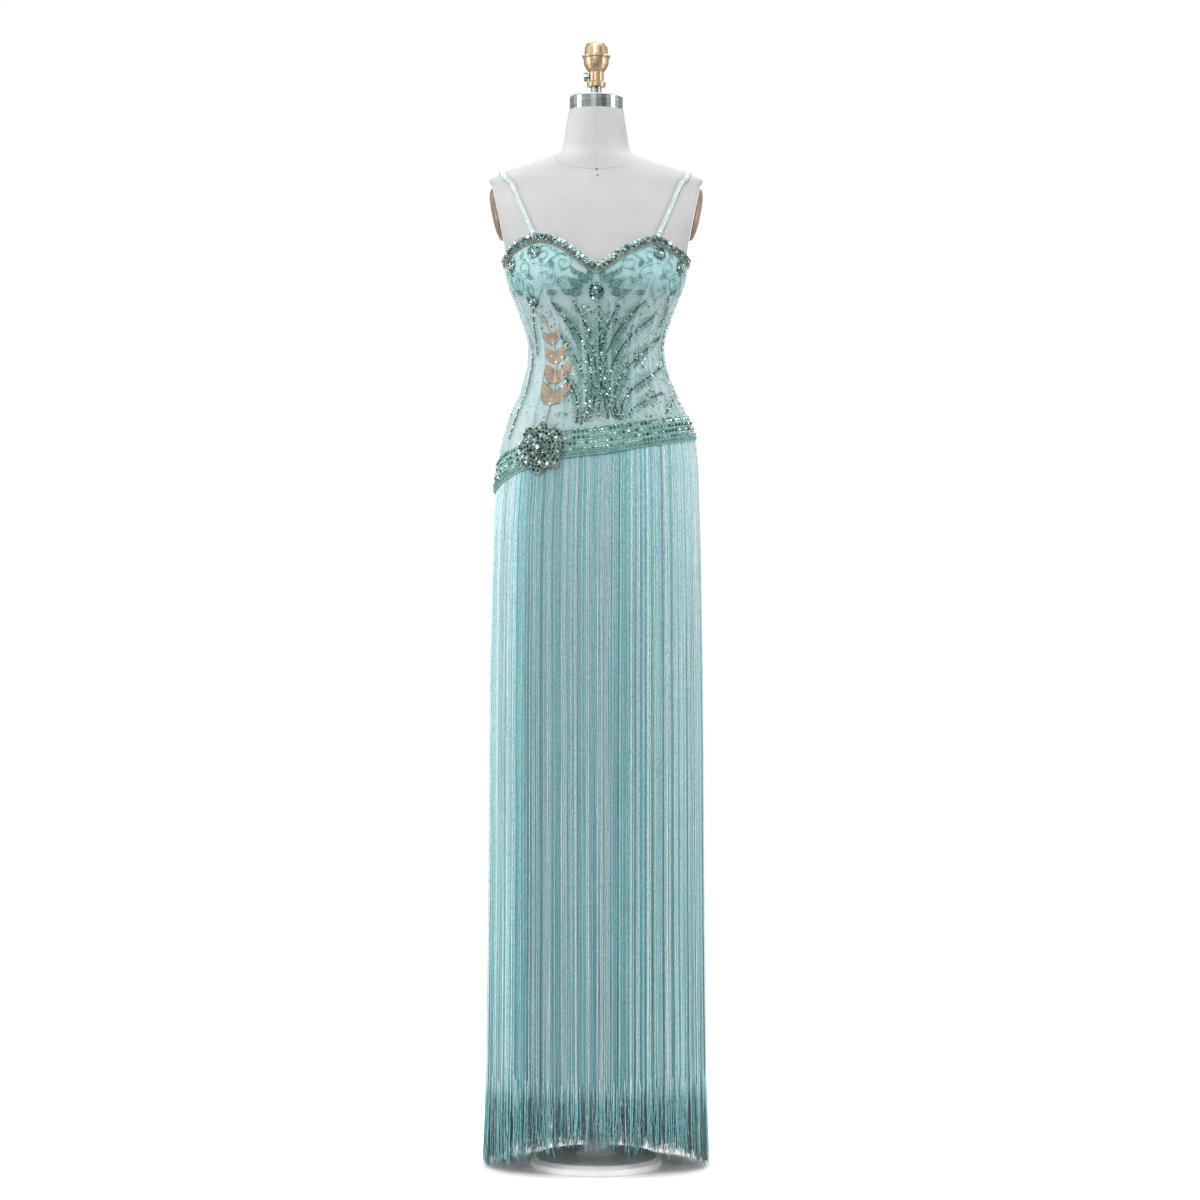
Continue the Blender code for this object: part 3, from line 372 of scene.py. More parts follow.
def node(tree, kind, **settings):
    made = tree.nodes.new(kind)
    for key, value in settings.items():
        setattr(made, key, value)
    return made


def link(tree, source, target):
    tree.links.new(source, target)


def finish_base(name, roughness, metallic=0.0):
    made = bpy.data.materials.new(name)
    made.use_nodes = True
    shader = made.node_tree.nodes["Principled BSDF"]
    shader.inputs["Roughness"].default_value = roughness
    shader.inputs["Metallic"].default_value = metallic
    return made, made.node_tree, shader


def mottled(tree, light, deep, scale, stretch=(1, 1, 1), detail=4.0, source="Object"):
    """Noise that wanders between two colours; returns its colour and its value."""
    place = node(tree, "ShaderNodeTexCoord")
    mapping = node(tree, "ShaderNodeMapping")
    mapping.inputs["Scale"].default_value = stretch
    link(tree, place.outputs[source], mapping.inputs["Vector"])
    noise = node(tree, "ShaderNodeTexNoise")
    noise.inputs["Scale"].default_value = scale
    noise.inputs["Detail"].default_value = detail
    link(tree, mapping.outputs["Vector"], noise.inputs["Vector"])
    ramp = node(tree, "ShaderNodeValToRGB")
    ramp.color_ramp.elements[0].position = 0.35
    ramp.color_ramp.elements[1].position = 0.65
    ramp.color_ramp.elements[0].color = (*deep, 1.0)
    ramp.color_ramp.elements[1].color = (*light, 1.0)
    link(tree, noise.outputs["Fac"], ramp.inputs["Fac"])
    return ramp.outputs["Color"], noise.outputs["Fac"]


def bumped(tree, shader, height, strength, distance):
    bump = node(tree, "ShaderNodeBump")
    bump.inputs["Strength"].default_value = strength
    bump.inputs["Distance"].default_value = distance
    link(tree, height, bump.inputs["Height"])
    link(tree, bump.outputs["Normal"], shader.inputs["Normal"])


def uneven_gloss(tree, shader, value, low, high):
    spread = node(tree, "ShaderNodeMapRange")
    spread.inputs["To Min"].default_value = low
    spread.inputs["To Max"].default_value = high
    link(tree, value, spread.inputs["Value"])
    link(tree, spread.outputs["Result"], shader.inputs["Roughness"])


def woven(tree, threads):
    """The height of a plain weave, threads to the metre, on the piece's own flat map."""
    place = node(tree, "ShaderNodeTexCoord")
    waves = []
    for direction in ("X", "Y"):
        wave = node(tree, "ShaderNodeTexWave", wave_type="BANDS", bands_direction=direction)
        wave.inputs["Scale"].default_value = threads / (2 * math.pi)
        link(tree, place.outputs["UV"], wave.inputs["Vector"])
        waves.append(wave.outputs["Fac"])
    both = node(tree, "ShaderNodeMath", operation="MAXIMUM")
    link(tree, waves[0], both.inputs[0])
    link(tree, waves[1], both.inputs[1])
    return both.outputs["Value"]


def cloth_finish(name, light, deep, roughness, threads, bump, sheen=0.0, scale=14.0, stretch=(1, 1, 1)):
    made, tree, shader = finish_base(name, roughness)
    colour, value = mottled(tree, light, deep, scale, stretch)
    link(tree, colour, shader.inputs["Base Color"])
    uneven_gloss(tree, shader, value, roughness - 0.08, roughness + 0.08)
    bumped(tree, shader, woven(tree, threads), bump, 0.0002)
    shader.inputs["Sheen Weight"].default_value = sheen
    shader.inputs["Sheen Roughness"].default_value = 0.4
    return made


def toned(tree, dark, middle, light):
    """A colour picked for each bead or yarn by its own tone, from 0 to 1. A yarn's tone also carries painted
    light and shade.
    """
    tone = node(tree, "ShaderNodeAttribute", attribute_name="tone")
    ramp = node(tree, "ShaderNodeValToRGB")
    ramp.color_ramp.elements[0].color = (*dark, 1.0)
    ramp.color_ramp.elements[1].color = (*light, 1.0)
    between = ramp.color_ramp.elements.new(0.5)
    between.color = (*middle, 1.0)
    link(tree, tone.outputs["Fac"], ramp.inputs["Fac"])
    return ramp.outputs["Color"]


def glittering(name, dark, middle, light, roughness, metallic, coat=0.0):
    """Cut glass or metal: each stone has its own tone."""
    made, tree, shader = finish_base(name, roughness, metallic)
    link(tree, toned(tree, dark, middle, light), shader.inputs["Base Color"])
    _, value = mottled(tree, light, dark, 900.0)
    uneven_gloss(tree, shader, value, roughness * 0.6, roughness * 1.6)
    bumped(tree, shader, value, 0.15, 0.0002)
    shader.inputs["Coat Weight"].default_value = coat
    shader.inputs["Coat Roughness"].default_value = 0.04
    return made


def make_finishes():
    return {
        "linen": cloth_finish("form linen", shade(184, 184, 184), shade(176, 176, 176), 0.85, 1400, 0.25),
        "satin": cloth_finish("slip satin", shade(166, 212, 218), shade(146, 200, 208), 0.42, 5000, 0.10,
                              sheen=0.3),
        "cup": cup_finish(),
        "casing": veil_finish("casing tape", shade(196, 226, 228), shade(178, 214, 218), 0.30, 0.50),
        "band": cloth_finish("band cloth", shade(128, 172, 164), shade(98, 146, 138), 0.6, 2500, 0.3,
                             scale=80.0),
        "trim": cloth_finish("trim cloth", shade(168, 196, 188), shade(140, 172, 164), 0.6, 2500, 0.3,
                             scale=80.0),
        "strap": cloth_finish("strap ribbon", shade(214, 218, 220), shade(196, 203, 205), 0.5, 2500, 0.3,
                              scale=80.0),
        "net": veil_finish("sheer net", shade(206, 228, 230), shade(182, 216, 216), 0.26, 0.42),
        "yarn": yarn_finish(),
        "cord": cloth_finish("soutache cord", shade(138, 194, 190), shade(112, 176, 170), 0.5, 4000, 0.4,
                             sheen=0.2, scale=200.0),
        "seed": glittering("seed beads", shade(10, 66, 60), shade(112, 184, 170), shade(232, 248, 244),
                           0.16, 0.15, coat=0.6),
        "stone": glittering("cut stones", shade(8, 22, 26), shade(96, 136, 138), shade(232, 244, 244),
                            0.10, 0.55, coat=1.0),
        "tan": glittering("tan and gold beads", shade(84, 88, 80), shade(150, 148, 134),
                          shade(226, 192, 162), 0.25, 0.25, coat=0.4),
        "brass": plain_finish("aged brass", shade(196, 173, 144), shade(178, 154, 124), 60.0, (0.34, 0.46),
                              (0.04, 0.0002), detail=3.0, metallic=1.0),
        "steel": plain_finish("brushed steel", shade(178, 184, 186), shade(140, 147, 150), 20.0, (0.2, 0.4),
                              (0.05, 0.0002), stretch=(1, 1, 60), metallic=1.0),
        "plate": plate_finish(),
        "enamel": plain_finish("white enamel", (0.86, 0.86, 0.85), (0.80, 0.80, 0.79), 25.0, (0.28, 0.45),
                               (0.1, 0.0005)),
        "pin": plain_finish("black pin heads", (0.02, 0.02, 0.02), (0.01, 0.01, 0.01), 500.0, (0.25,),
                            (0.05, 0.0001)),
        "paper": plain_finish("studio paper", shade(252, 252, 252), shade(248, 248, 248), 2.0, (0.9,),
                              (0.05, 0.0005)),
    }


def cup_finish():
    """Cup satin that fades out towards its lower edge, under the beadwork."""
    made = cloth_finish("cup satin", shade(160, 208, 214), shade(132, 190, 198), 0.50, 3000, 0.20,
                        sheen=0.25, scale=45.0)
    tree = made.node_tree
    place = node(tree, "ShaderNodeTexCoord")
    parts = node(tree, "ShaderNodeSeparateXYZ")
    fade = node(tree, "ShaderNodeMapRange", interpolation_type="SMOOTHSTEP")
    fade.inputs["From Min"].default_value = CUP_FADE[0]
    fade.inputs["From Max"].default_value = CUP_FADE[1]
    fade.inputs["To Min"].default_value = 0.12
    link(tree, place.outputs["Object"], parts.inputs["Vector"])
    link(tree, parts.outputs["Z"], fade.inputs["Value"])
    link(tree, fade.outputs["Result"], tree.nodes["Principled BSDF"].inputs["Alpha"])
    return made


def veil_finish(name, light, deep, thinnest, thickest):
    """Sheer cloth: how much of it is thread wanders between two shares."""
    made, tree, shader = finish_base(name, 0.55)
    colour, value = mottled(tree, light, deep, 30.0)
    link(tree, colour, shader.inputs["Base Color"])
    uneven_gloss(tree, shader, value, 0.45, 0.65)
    spread = node(tree, "ShaderNodeMapRange")
    spread.inputs["To Min"].default_value = thinnest
    spread.inputs["To Max"].default_value = thickest
    link(tree, value, spread.inputs["Value"])
    link(tree, spread.outputs["Result"], shader.inputs["Alpha"])
    bumped(tree, shader, woven(tree, 1200), 0.2, 0.0002)
    shader.inputs["Sheen Weight"].default_value = 0.2
    return made


def yarn_finish():
    """Lustrous twisted yarn, each end with its own tone, with flecks that glint along its length. The tones
    carry painted light: lighter at the sides, darker lower down, and a near-black painted shade at the hem.
    """
    made, tree, shader = finish_base("fringe yarn", 0.4)
    # The darkest colour serves mainly the painted shade on the yarn ends at the hem.
    colour = toned(tree, shade(40, 44, 50), shade(148, 222, 226), shade(246, 253, 254))
    flecks, value = mottled(tree, (1.0, 1.0, 1.0), (0.46, 0.64, 0.68), 480.0, (1, 1, 0.4), detail=2.0)
    mix = node(tree, "ShaderNodeMix", data_type="RGBA", blend_type="MULTIPLY")
    mix.inputs["Factor"].default_value = 0.8
    link(tree, colour, mix.inputs["A"])
    link(tree, flecks, mix.inputs["B"])
    link(tree, mix.outputs["Result"], shader.inputs["Base Color"])
    uneven_gloss(tree, shader, value, 0.28, 0.5)
    bumped(tree, shader, value, 0.4, 0.0003)
    shader.inputs["Sheen Weight"].default_value = 0.4
    shader.inputs["Sheen Roughness"].default_value = 0.35
    return made


def plain_finish(name, light, deep, scale, roughness, relief, stretch=(1, 1, 1), detail=4.0, metallic=0.0):
    """A hard finish whose colour wanders a little. roughness is one number, or the least and the most."""
    made, tree, shader = finish_base(name, roughness[0], metallic)
    colour, value = mottled(tree, light, deep, scale, stretch, detail)
    link(tree, colour, shader.inputs["Base Color"])
    if len(roughness) > 1:
        uneven_gloss(tree, shader, value, *roughness)
    bumped(tree, shader, value, *relief)
    return made


def plate_finish():
    """Varnished plate, its grain running up."""
    made = plain_finish("varnished plate", shade(148, 120, 92), shade(98, 76, 56), 90.0, (0.3, 0.5),
                        (0.15, 0.0003), stretch=(1, 1, 0.15), detail=6.0)
    made.node_tree.nodes["Principled BSDF"].inputs["Coat Weight"].default_value = 0.3
    return made


# Meshes

def given(mesh, key, values, kind="FLOAT"):
    """Gives each point of a mesh its own value."""
    layer = mesh.attributes.new(key, kind, "POINT")
    layer.data.foreach_set("value" if kind == "FLOAT" else "vector", np.concatenate(values).reshape(-1))


def new_piece(name, points, faces, finish, maps):
    """A piece of the gown or form: mesh, finish, flat map and body."""
    mesh = bpy.data.meshes.new(name)
    mesh.from_pydata(np.asarray(points, float).reshape(-1, 3).tolist(), [], faces)
    mesh.materials.append(finish)
    corners = np.zeros(len(mesh.loops), dtype=np.int32)
    mesh.loops.foreach_get("vertex_index", corners)
    flat = np.asarray(maps, float).reshape(-1, 2)[corners]
    mesh.uv_layers.new(name="cloth").data.foreach_set("uv", flat.reshape(-1))
    mesh.shade_smooth()
    mesh.set_sharp_from_angle(angle=math.radians(SHARP_EDGE))
    made = bpy.data.objects.new(name, mesh)
    bpy.context.scene.collection.objects.link(made)
    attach(made, BODY)
    return made


def wall_faces(rows, cols, closed=False):
    """Quads of a sheet with an outer and an inner grid, rows down and columns to the right."""
    count = rows * cols
    r, c = np.meshgrid(np.arange(rows - 1), np.arange(cols if closed else cols - 1), indexing="ij")
    r, c = r.reshape(-1), c.reshape(-1)
    d = (c + 1) % cols
    outer = np.stack([r * cols + c, (r + 1) * cols + c, (r + 1) * cols + d, r * cols + d], axis=1)
    inner = outer[:, [0, 3, 2, 1]] + count
    faces = [outer, inner]
    c = np.arange(cols if closed else cols - 1)
    d = (c + 1) % cols
    low = (rows - 1) * cols
    faces.append(np.stack([c, d, count + d, count + c], axis=1))
    faces.append(np.stack([low + d, low + c, count + low + c, count + low + d], axis=1))
    if not closed:
        r = np.arange(rows - 1) * cols
        last = cols - 1
        faces.append(np.stack([r, count + r, count + r + cols, r + cols], axis=1))
        low = r + cols + last
        faces.append(np.stack([r + last, low, count + low, count + r + last], axis=1))
    return np.concatenate(faces).tolist()


def flat_map(angle, z, shape):
    """Where points of cloth lie on its flat map, in metres."""
    return np.stack([np.broadcast_to(angle, shape) * FLAT_DEGREE, np.broadcast_to(z, shape)], axis=-1)


def shell(name, outer, inner, angle, z, finish, slot, *stands_for):
    """A thin cloth wall between two grids of points, in place of the nodes that it stands for."""
    rows, cols = outer.shape[:2]
    flat = flat_map(angle, z, (rows, cols)).reshape(-1, 2)
    points = np.concatenate([outer.reshape(-1, 3), inner.reshape(-1, 3)])
    made = new_piece(name, points, wall_faces(rows, cols), FINISH[finish], np.concatenate([flat, flat]))
    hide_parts(*stands_for)
    return made


def cloth(name, shape, grid, over, under, finish, slot, *stands_for):
    """A thin cloth wall over a shape, between two lifts in millimetres."""
    angle, z = grid[:2]
    return shell(name, lifted(shape, angle, z, over), lifted(shape, angle, z, under), angle, z, finish, slot,
                 *stands_for)


def cloth_grid(start, end, cols, rows, top, low):
    """Angles and heights over a piece of cloth, and each row's share of the way down it."""
    angle = np.linspace(start, end, cols)[None, :]
    share = np.linspace(0.0, 1.0, rows)[:, None]
    z = top(angle) + (low(angle) - top(angle)) * share
    return np.broadcast_to(angle, z.shape), z, np.broadcast_to(share, z.shape)


def tree_with(name, inputs):
    """An empty geometry tree with named inputs; returns it with its group nodes and identifiers."""
    tree = bpy.data.node_groups.new(name, "GeometryNodeTree")
    tree.interface.new_socket(name="Geometry", in_out="INPUT", socket_type="NodeSocketGeometry")
    tree.interface.new_socket(name="Geometry", in_out="OUTPUT", socket_type="NodeSocketGeometry")
    names = {}
    for label, kind in inputs:
        names[label] = tree.interface.new_socket(name=label, in_out="INPUT", socket_type=kind).identifier
    return tree, node(tree, "NodeGroupInput"), node(tree, "NodeGroupOutput"), names


def finished(tree, shape, start, end):
    """The last steps of every tree: real meshes, in the finish that is asked for."""
    real = node(tree, "GeometryNodeRealizeInstances")
    finish = node(tree, "GeometryNodeSetMaterial")
    link(tree, shape, real.inputs["Geometry"])
    link(tree, real.outputs["Geometry"], finish.inputs["Geometry"])
    link(tree, start.outputs["Finish"], finish.inputs["Material"])
    link(tree, finish.outputs["Geometry"], end.inputs["Geometry"])


BEAD_SHAPES = {
    "stone": ("GeometryNodeMeshCone",
              {"Vertices": 8, "Radius Top": 0.26, "Radius Bottom": 0.5, "Depth": 0.42}),
    "fine bead": ("GeometryNodeMeshUVSphere", {"Segments": 6, "Rings": 2, "Radius": 0.5}),
    "bead": ("GeometryNodeMeshIcoSphere", {"Radius": 0.5, "Subdivisions": 1}),
}


def sewn_tree(shape):
    """Sews one bead or stone on each point, facing out, turned at random, of the point's size."""
    tree, start, end, names = tree_with(
        f"sewn {shape}",
        (("Flatness", "NodeSocketFloat"), ("Seed", "NodeSocketInt"), ("Finish", "NodeSocketMaterial")))
    kind, sizes = BEAD_SHAPES[shape]
    bead = node(tree, kind)
    for label, value in sizes.items():
        bead.inputs[label].default_value = value
    squeeze = node(tree, "GeometryNodeTransform")
    height = node(tree, "ShaderNodeCombineXYZ")
    height.inputs["X"].default_value = 1.0
    height.inputs["Y"].default_value = 1.0
    link(tree, start.outputs["Flatness"], height.inputs["Z"])
    link(tree, bead.outputs["Mesh"], squeeze.inputs["Geometry"])
    link(tree, height.outputs["Vector"], squeeze.inputs["Scale"])
    out = node(tree, "GeometryNodeInputNamedAttribute", data_type="FLOAT_VECTOR")
    out.inputs["Name"].default_value = "out"
    size = node(tree, "GeometryNodeInputNamedAttribute", data_type="FLOAT")
    size.inputs["Name"].default_value = "size"
    facing = node(tree, "FunctionNodeAlignRotationToVector", axis="Z")
    link(tree, out.outputs["Attribute"], facing.inputs["Vector"])
    chance = node(tree, "FunctionNodeRandomValue", data_type="FLOAT")
    chance.inputs["Max"].default_value = 2 * math.pi
    link(tree, start.outputs["Seed"], chance.inputs["Seed"])
    spin = node(tree, "FunctionNodeAxisAngleToRotation")
    link(tree, chance.outputs[1], spin.inputs["Angle"])
    turn = node(tree, "FunctionNodeRotateRotation", rotation_space="LOCAL")
    link(tree, facing.outputs["Rotation"], turn.inputs["Rotation"])
    link(tree, spin.outputs["Rotation"], turn.inputs["Rotate By"])
    sew = node(tree, "GeometryNodeInstanceOnPoints")
    link(tree, start.outputs["Geometry"], sew.inputs["Points"])
    link(tree, squeeze.outputs["Geometry"], sew.inputs["Instance"])
    link(tree, turn.outputs["Rotation"], sew.inputs["Rotation"])
    link(tree, size.outputs["Attribute"], sew.inputs["Scale"])
    finished(tree, sew.outputs["Instances"], start, end)
    return tree, names


def swept_tree():
    """Sweeps a ring along each line of a wire mesh, as thick as each of its points says."""
    tree, start, end, names = tree_with(
        "swept lines", (("Sides", "NodeSocketInt"), ("Finish", "NodeSocketMaterial")))
    line = node(tree, "GeometryNodeMeshToCurve")
    ring = node(tree, "GeometryNodeCurvePrimitiveCircle")
    ring.inputs["Radius"].default_value = 1.0
    link(tree, start.outputs["Sides"], ring.inputs["Resolution"])
    thick = node(tree, "GeometryNodeInputNamedAttribute", data_type="FLOAT")
    thick.inputs["Name"].default_value = "thick"
    tube = node(tree, "GeometryNodeCurveToMesh")
    tube.inputs["Fill Caps"].default_value = True
    link(tree, start.outputs["Geometry"], line.inputs["Mesh"])
    link(tree, line.outputs["Curve"], tube.inputs["Curve"])
    link(tree, ring.outputs["Curve"], tube.inputs["Profile Curve"])
    link(tree, thick.outputs["Attribute"], tube.inputs["Scale"])
    finished(tree, tube.outputs["Mesh"], start, end)
    return tree, names


def grown(name, seedling, tree, values, smooth):
    """The plain mesh that a geometry tree makes of a seedling."""
    start = bpy.data.objects.new(name + "_seedling", seedling)
    bpy.context.scene.collection.objects.link(start)
    modifier = start.modifiers.new("grow", "NODES")
    modifier.node_group = tree
    for identifier, value in values.items():
        modifier[identifier] = value
    graph = bpy.context.evaluated_depsgraph_get()
    mesh = bpy.data.meshes.new_from_object(start.evaluated_get(graph), depsgraph=graph)
    mesh.name = name
    bpy.data.objects.remove(start)
    if smooth:
        mesh.shade_smooth()
    made = bpy.data.objects.new(name, mesh)
    bpy.context.scene.collection.objects.link(made)
    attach(made, BODY)
    return made


class Workbox:
    """Beads gathered for one piece: places, directions, sizes and tones."""

    def __init__(self):
        self.points, self.outs, self.sizes, self.tones = [], [], [], []

    def add(self, angle, z, lift, size, tone):
        angle, z = np.broadcast_arrays(np.atleast_1d(np.asarray(angle, float)), np.asarray(z, float))
        self.points.append(lifted(FORM, angle, z, lift).reshape(-1, 3))
        self.outs.append(outward(FORM, angle, z).reshape(-1, 3))
        self.sizes.append(np.broadcast_to(np.asarray(size, float) * MM, angle.shape).reshape(-1))
        self.tones.append(np.broadcast_to(np.asarray(tone, float), angle.shape).reshape(-1))

    def on_net(self, angle, z, above, size, tone):
        """Adds beads whose middles lie some millimetres above the net."""
        self.add(angle, z, net_lift(z) + above, size, tone)

    def sew(self, name, shape, flatness, finish, slot, seed):
        outs = np.concatenate(self.outs)
        if shape == "stone":
            outs = outs + CHANCE.normal(0.0, STONE_TILT, outs.shape)
        mesh = bpy.data.meshes.new(name + "_places")
        mesh.from_pydata(np.concatenate(self.points).tolist(), [], [])
        given(mesh, "out", [outs], "FLOAT_VECTOR")
        given(mesh, "size", self.sizes)
        given(mesh, "tone", self.tones)
        tree, names = SEWN[shape]
        values = {names["Flatness"]: flatness, names["Seed"]: seed, names["Finish"]: FINISH[finish]}
        return grown(name, mesh, tree, values, smooth=shape != "stone")


def swept(name, lines, thick, sides, finish, tones=None):
    """Cords or yarns along lines of points, each point with its own thickness and tone."""
    edges, first = [], 0
    for line in lines:
        edges += [(first + k, first + k + 1) for k in range(len(line) - 1)]
        first += len(line)
    mesh = bpy.data.meshes.new(name + "_lines")
    mesh.from_pydata(np.concatenate(lines).tolist(), edges, [])
    given(mesh, "thick", thick)
    if tones is not None:
        given(mesh, "tone", tones)
    tree, names = SWEPT
    values = {names["Sides"]: sides, names["Finish"]: FINISH[finish]}
    return grown(name, mesh, tree, values, smooth=True)


def laid_cords(name, lines, radius, finish):
    """Round cords of one radius along lines of points."""
    return swept(name, lines, [np.full(len(line), radius) for line in lines], 6, finish)


# The form and its fittings

def make_form_cover():
    """The form's taut linen, smooth all round, closed at its neck and foot end."""
    angle = np.linspace(-180.0, 180.0, 97)[:-1]
    heights = [row[0] for row in FORM]
    z = []
    for low, high in zip(heights[:-1], heights[1:]):
        steps = max(1, round((high - low) / 0.012))
        z += list(low + (high - low) * np.arange(steps) / steps)
    z = np.array([*z, heights[-1]])[::-1]
    grid = skin(FORM, angle[None, :], z[:, None])
    rows, cols = grid.shape[:2]
    faces = []
    for r in range(rows - 1):
        for c in range(cols):
            d = (c + 1) % cols
            faces.append((r * cols + c, (r + 1) * cols + c, (r + 1) * cols + d, r * cols + d))
    faces.append(tuple(range(cols)))
    faces.append(tuple(reversed(range((rows - 1) * cols, rows * cols))))
    flat = flat_map(angle[None, :], z[:, None], (rows, cols))
    made = new_piece("form_cover", grid, faces, FINISH["linen"], flat)
    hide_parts("form_torso")


def make_form_seams():
    """The cover's seams down the neck and round its base, and two black pin heads below them."""
    heights = np.linspace(1.588, 1.684, 40)
    lines = [lifted(FORM, np.zeros(40), heights, 0.05)]
    lines.append(lifted(FORM, np.full(60, 180.0), np.linspace(1.452, 1.684, 60), 0.05))
    turn = np.linspace(-180.0, 180.0, 97)
    dip = 1.620 - 0.0335 * np.exp(-((turn / 46.0) ** 2))
    lines.append(lifted(FORM, turn, dip, 0.05))
    laid_cords("form_seams", lines, 0.0004, "linen")
    pins = Workbox()
    pins.add([0.6, 0.6], [1.5848, 1.5746], 0.7, 2.8, 0.0)
    pins.sew("form_pins", "bead", 0.7, "pin", "steel", 3)


def refinish_metal():
    """The form's hard pieces stay as they are, with real finishes."""
    for name, finish in (("arm_plate_left", "plate"), ("arm_plate_right", "plate"), ("finial", "brass"),
                         ("neck_cap", "steel"), ("pole_top", "steel"), ("stand_pole", "steel"),
                         ("thumb_screw", "steel"), ("foot_plate", "enamel")):
        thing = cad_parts[name]
        for place in thing.material_slots:
            place.material = FINISH[finish]


# The bodice

def make_net():
    """The net bodice all round, open at the centre back."""
    grid = cloth_grid(-BESIDE_OPENING, BESIDE_OPENING, 145, 45, neckline, band_middle)
    lift = net_lift(grid[1])
    panels = [f"bodice_{place}" for place in (
        "back_left", "side_back_left", "side_front_left", "centre_front", "side_front_right",
        "side_back_right", "back_right")]
    return cloth("net_bodice", FORM, grid, lift + 0.25, lift - 0.25, "net", "net", *panels)


def cup_foot(angle):
    """The height of a cup's lower edge."""
    lean = np.abs(np.abs(angle) - 36.0) / 45.0
    return 1.3755 + 0.012 * np.clip(lean, 0.0, 1.0) ** 2


def make_cups():
    return [cloth(f"lined_cup_{side}", FORM, cloth_grid(start, end, 46, 24, neckline, cup_foot),
                  CUP_LIFT + 0.4, CUP_LIFT - 0.3, "cup", "cup_satin", f"cup_{side}")
            for side, start, end in (("left", -81.0, -0.1), ("right", 0.1, 81.0))]


def princess(z):
    return through(LINE_HEIGHTS, PRINCESS, z)


def casing_angle(word, z):
    """The angle of a bone line at a height."""
    line = princess(z)
    return {"centre": line / 3, "princess": line, "side_front": line + (SIDE - line) / 3,
            "side": line + (SIDE - line) * 2 / 3}[word]


def make_casings():
    """Bones in their channels: narrow domed tapes, stitched along both edges."""
    casings = []
    profile = np.array([-1.0, -0.7, 0.0, 0.7, 1.0])
    dome = np.array([0.0, 0.35, 1.0, 0.35, 0.0])
    for word, top in (("centre", 1.372), ("princess", 1.438), ("side_front", 1.360), ("side", 1.446)):
        for side, sign in (("left", -1.0), ("right", 1.0)):
            under = sign * casing_angle(word, top)
            top_here = min(top, float(neckline(under) - upright_width(under, TRIM_WIDTH)) - 0.0012)
            low_angle = sign * casing_angle(word, 1.18)
            z = np.linspace(top_here, float(band_height(low_angle, 0.0)) + 0.0005, 60)[:, None]
            line = sign * casing_angle(word, z)
            angle = line + profile * CASING_WIDTH / 2 / metres_per_degree(line, z)
            level = np.broadcast_to(z, angle.shape)
            lift = net_lift(level) + CASING_LIFT
            casings.append(cloth(f"bone_casing_{word}_{side}", FORM, (angle, level), lift + 0.2 + 0.9 * dome,
                                 lift - 0.3, "casing", "casing", f"casing_{word}_{side}"))
    return casings


def upright_width(angle, width):
    """A trim's width measured straight down, where the neckline slopes."""
    step = np.where(angle > 0, 1.0, -1.0)
    run = metres_per_degree(angle, neckline(angle))
    slope = (neckline(angle + step) - neckline(angle)) / run
    return width * np.hypot(1.0, slope)


def make_trims():
    """The neckline's edge, in four pieces."""
    trims = []
    for name, start, end, width in (
            ("back_left", -179.9, -90.1, BACK_TRIM_WIDTH), ("front_left", -89.9, -0.1, TRIM_WIDTH),
            ("front_right", 0.1, 89.9, TRIM_WIDTH), ("back_right", 90.1, 179.9, BACK_TRIM_WIDTH)):
        grid = cloth_grid(start, end, 91, 6, neckline,
                          lambda angle: neckline(angle) - upright_width(angle, width))
        lift = net_lift(grid[1]) + TRIM_LIFT
        roll = 0.5 * np.sin(grid[2] * math.pi)
        trims.append(cloth(f"neckline_edge_{name}", FORM, grid, lift + 0.3 + roll, lift - 0.4,
                           "trim", "beadwork", f"neckline_trim_{name}"))
    return trims


def strap_way(sign, count):
    """A strap's middle line, from the front edge over the shoulder to the back edge."""
    rows = len(STRAP_PATH)
    way = np.linspace(0, rows - 1, count)
    angle = sign * through(range(rows), pick(STRAP_PATH, 0), way)
    z = through(range(rows), pick(STRAP_PATH, 1), way)
    z[0], z[-1] = (float(neckline(angle[end])) + STRAP_CLEAR for end in (0, -1))
    return angle, z


def strap_frame(sign, count):
    """A strap's heights, its middle line, and the directions out of it and across it."""
    angle, z = strap_way(sign, count)
    middle, out = skin(FORM, angle, z), outward(FORM, angle, z)
    along = np.gradient(middle, axis=0)
    along /= np.linalg.norm(along, axis=1, keepdims=True)
    return z, middle, out, np.cross(out, along)


def make_straps():
    straps = []
    for side, sign in (("left", -1.0), ("right", 1.0)):
        z, middle, out, sideways = strap_frame(sign, 90)
        sideways = sideways * STRAP_WIDTH / 2
        across = np.array([-1.0, 0.0, 1.0])
        base = middle[:, None] + sideways[:, None] * across[None, :, None]
        over, under = (base + out[:, None] * lift * MM for lift in (2.6, 1.8))
        straps.append(shell(f"strap_ribbon_{side}", over, under, across, z[:, None],
                            "strap", "beadwork", f"strap_{side}"))
    return straps


def strap_beads(seeds):
    """Three rows of pale beads on each strap."""
    for sign in (-1.0, 1.0):
        _, middle, out, sideways = strap_frame(sign, 130)
        for across in (-2.2, 0.0, 2.2):
            places = middle + sideways * across * MM + out * 2.9 * MM
            seeds.points.append(places)
            seeds.outs.append(out)
            seeds.sizes.append(np.full(len(places), 2.1 * MM))
            seeds.tones.append(CHANCE.uniform(0.78, 1.0, len(places)))


# Beadwork

EDGE_PITCH = 0.0076
# Columns: share, pitch, size, darkest, lightest, kind, rise
EDGE_ROWS = (
    (0.04, 0.0036, 2.8, 0.10, 1.0, "seed", 1.0),
    (0.25, EDGE_PITCH, 6.0, 0.20, 1.0, "stone", 1.5),
    (0.50, 0.0042, 3.4, 0.00, 0.9, "stone", 1.4),
    (0.68, 0.0040, 3.2, 0.00, 0.6, "stone", 1.4),
    (0.82, 0.0027, 2.5, 0.00, 0.5, "tan", 1.3),
    (0.96, 0.0026, 2.3, 0.30, 0.7, "tan", 1.0),
)


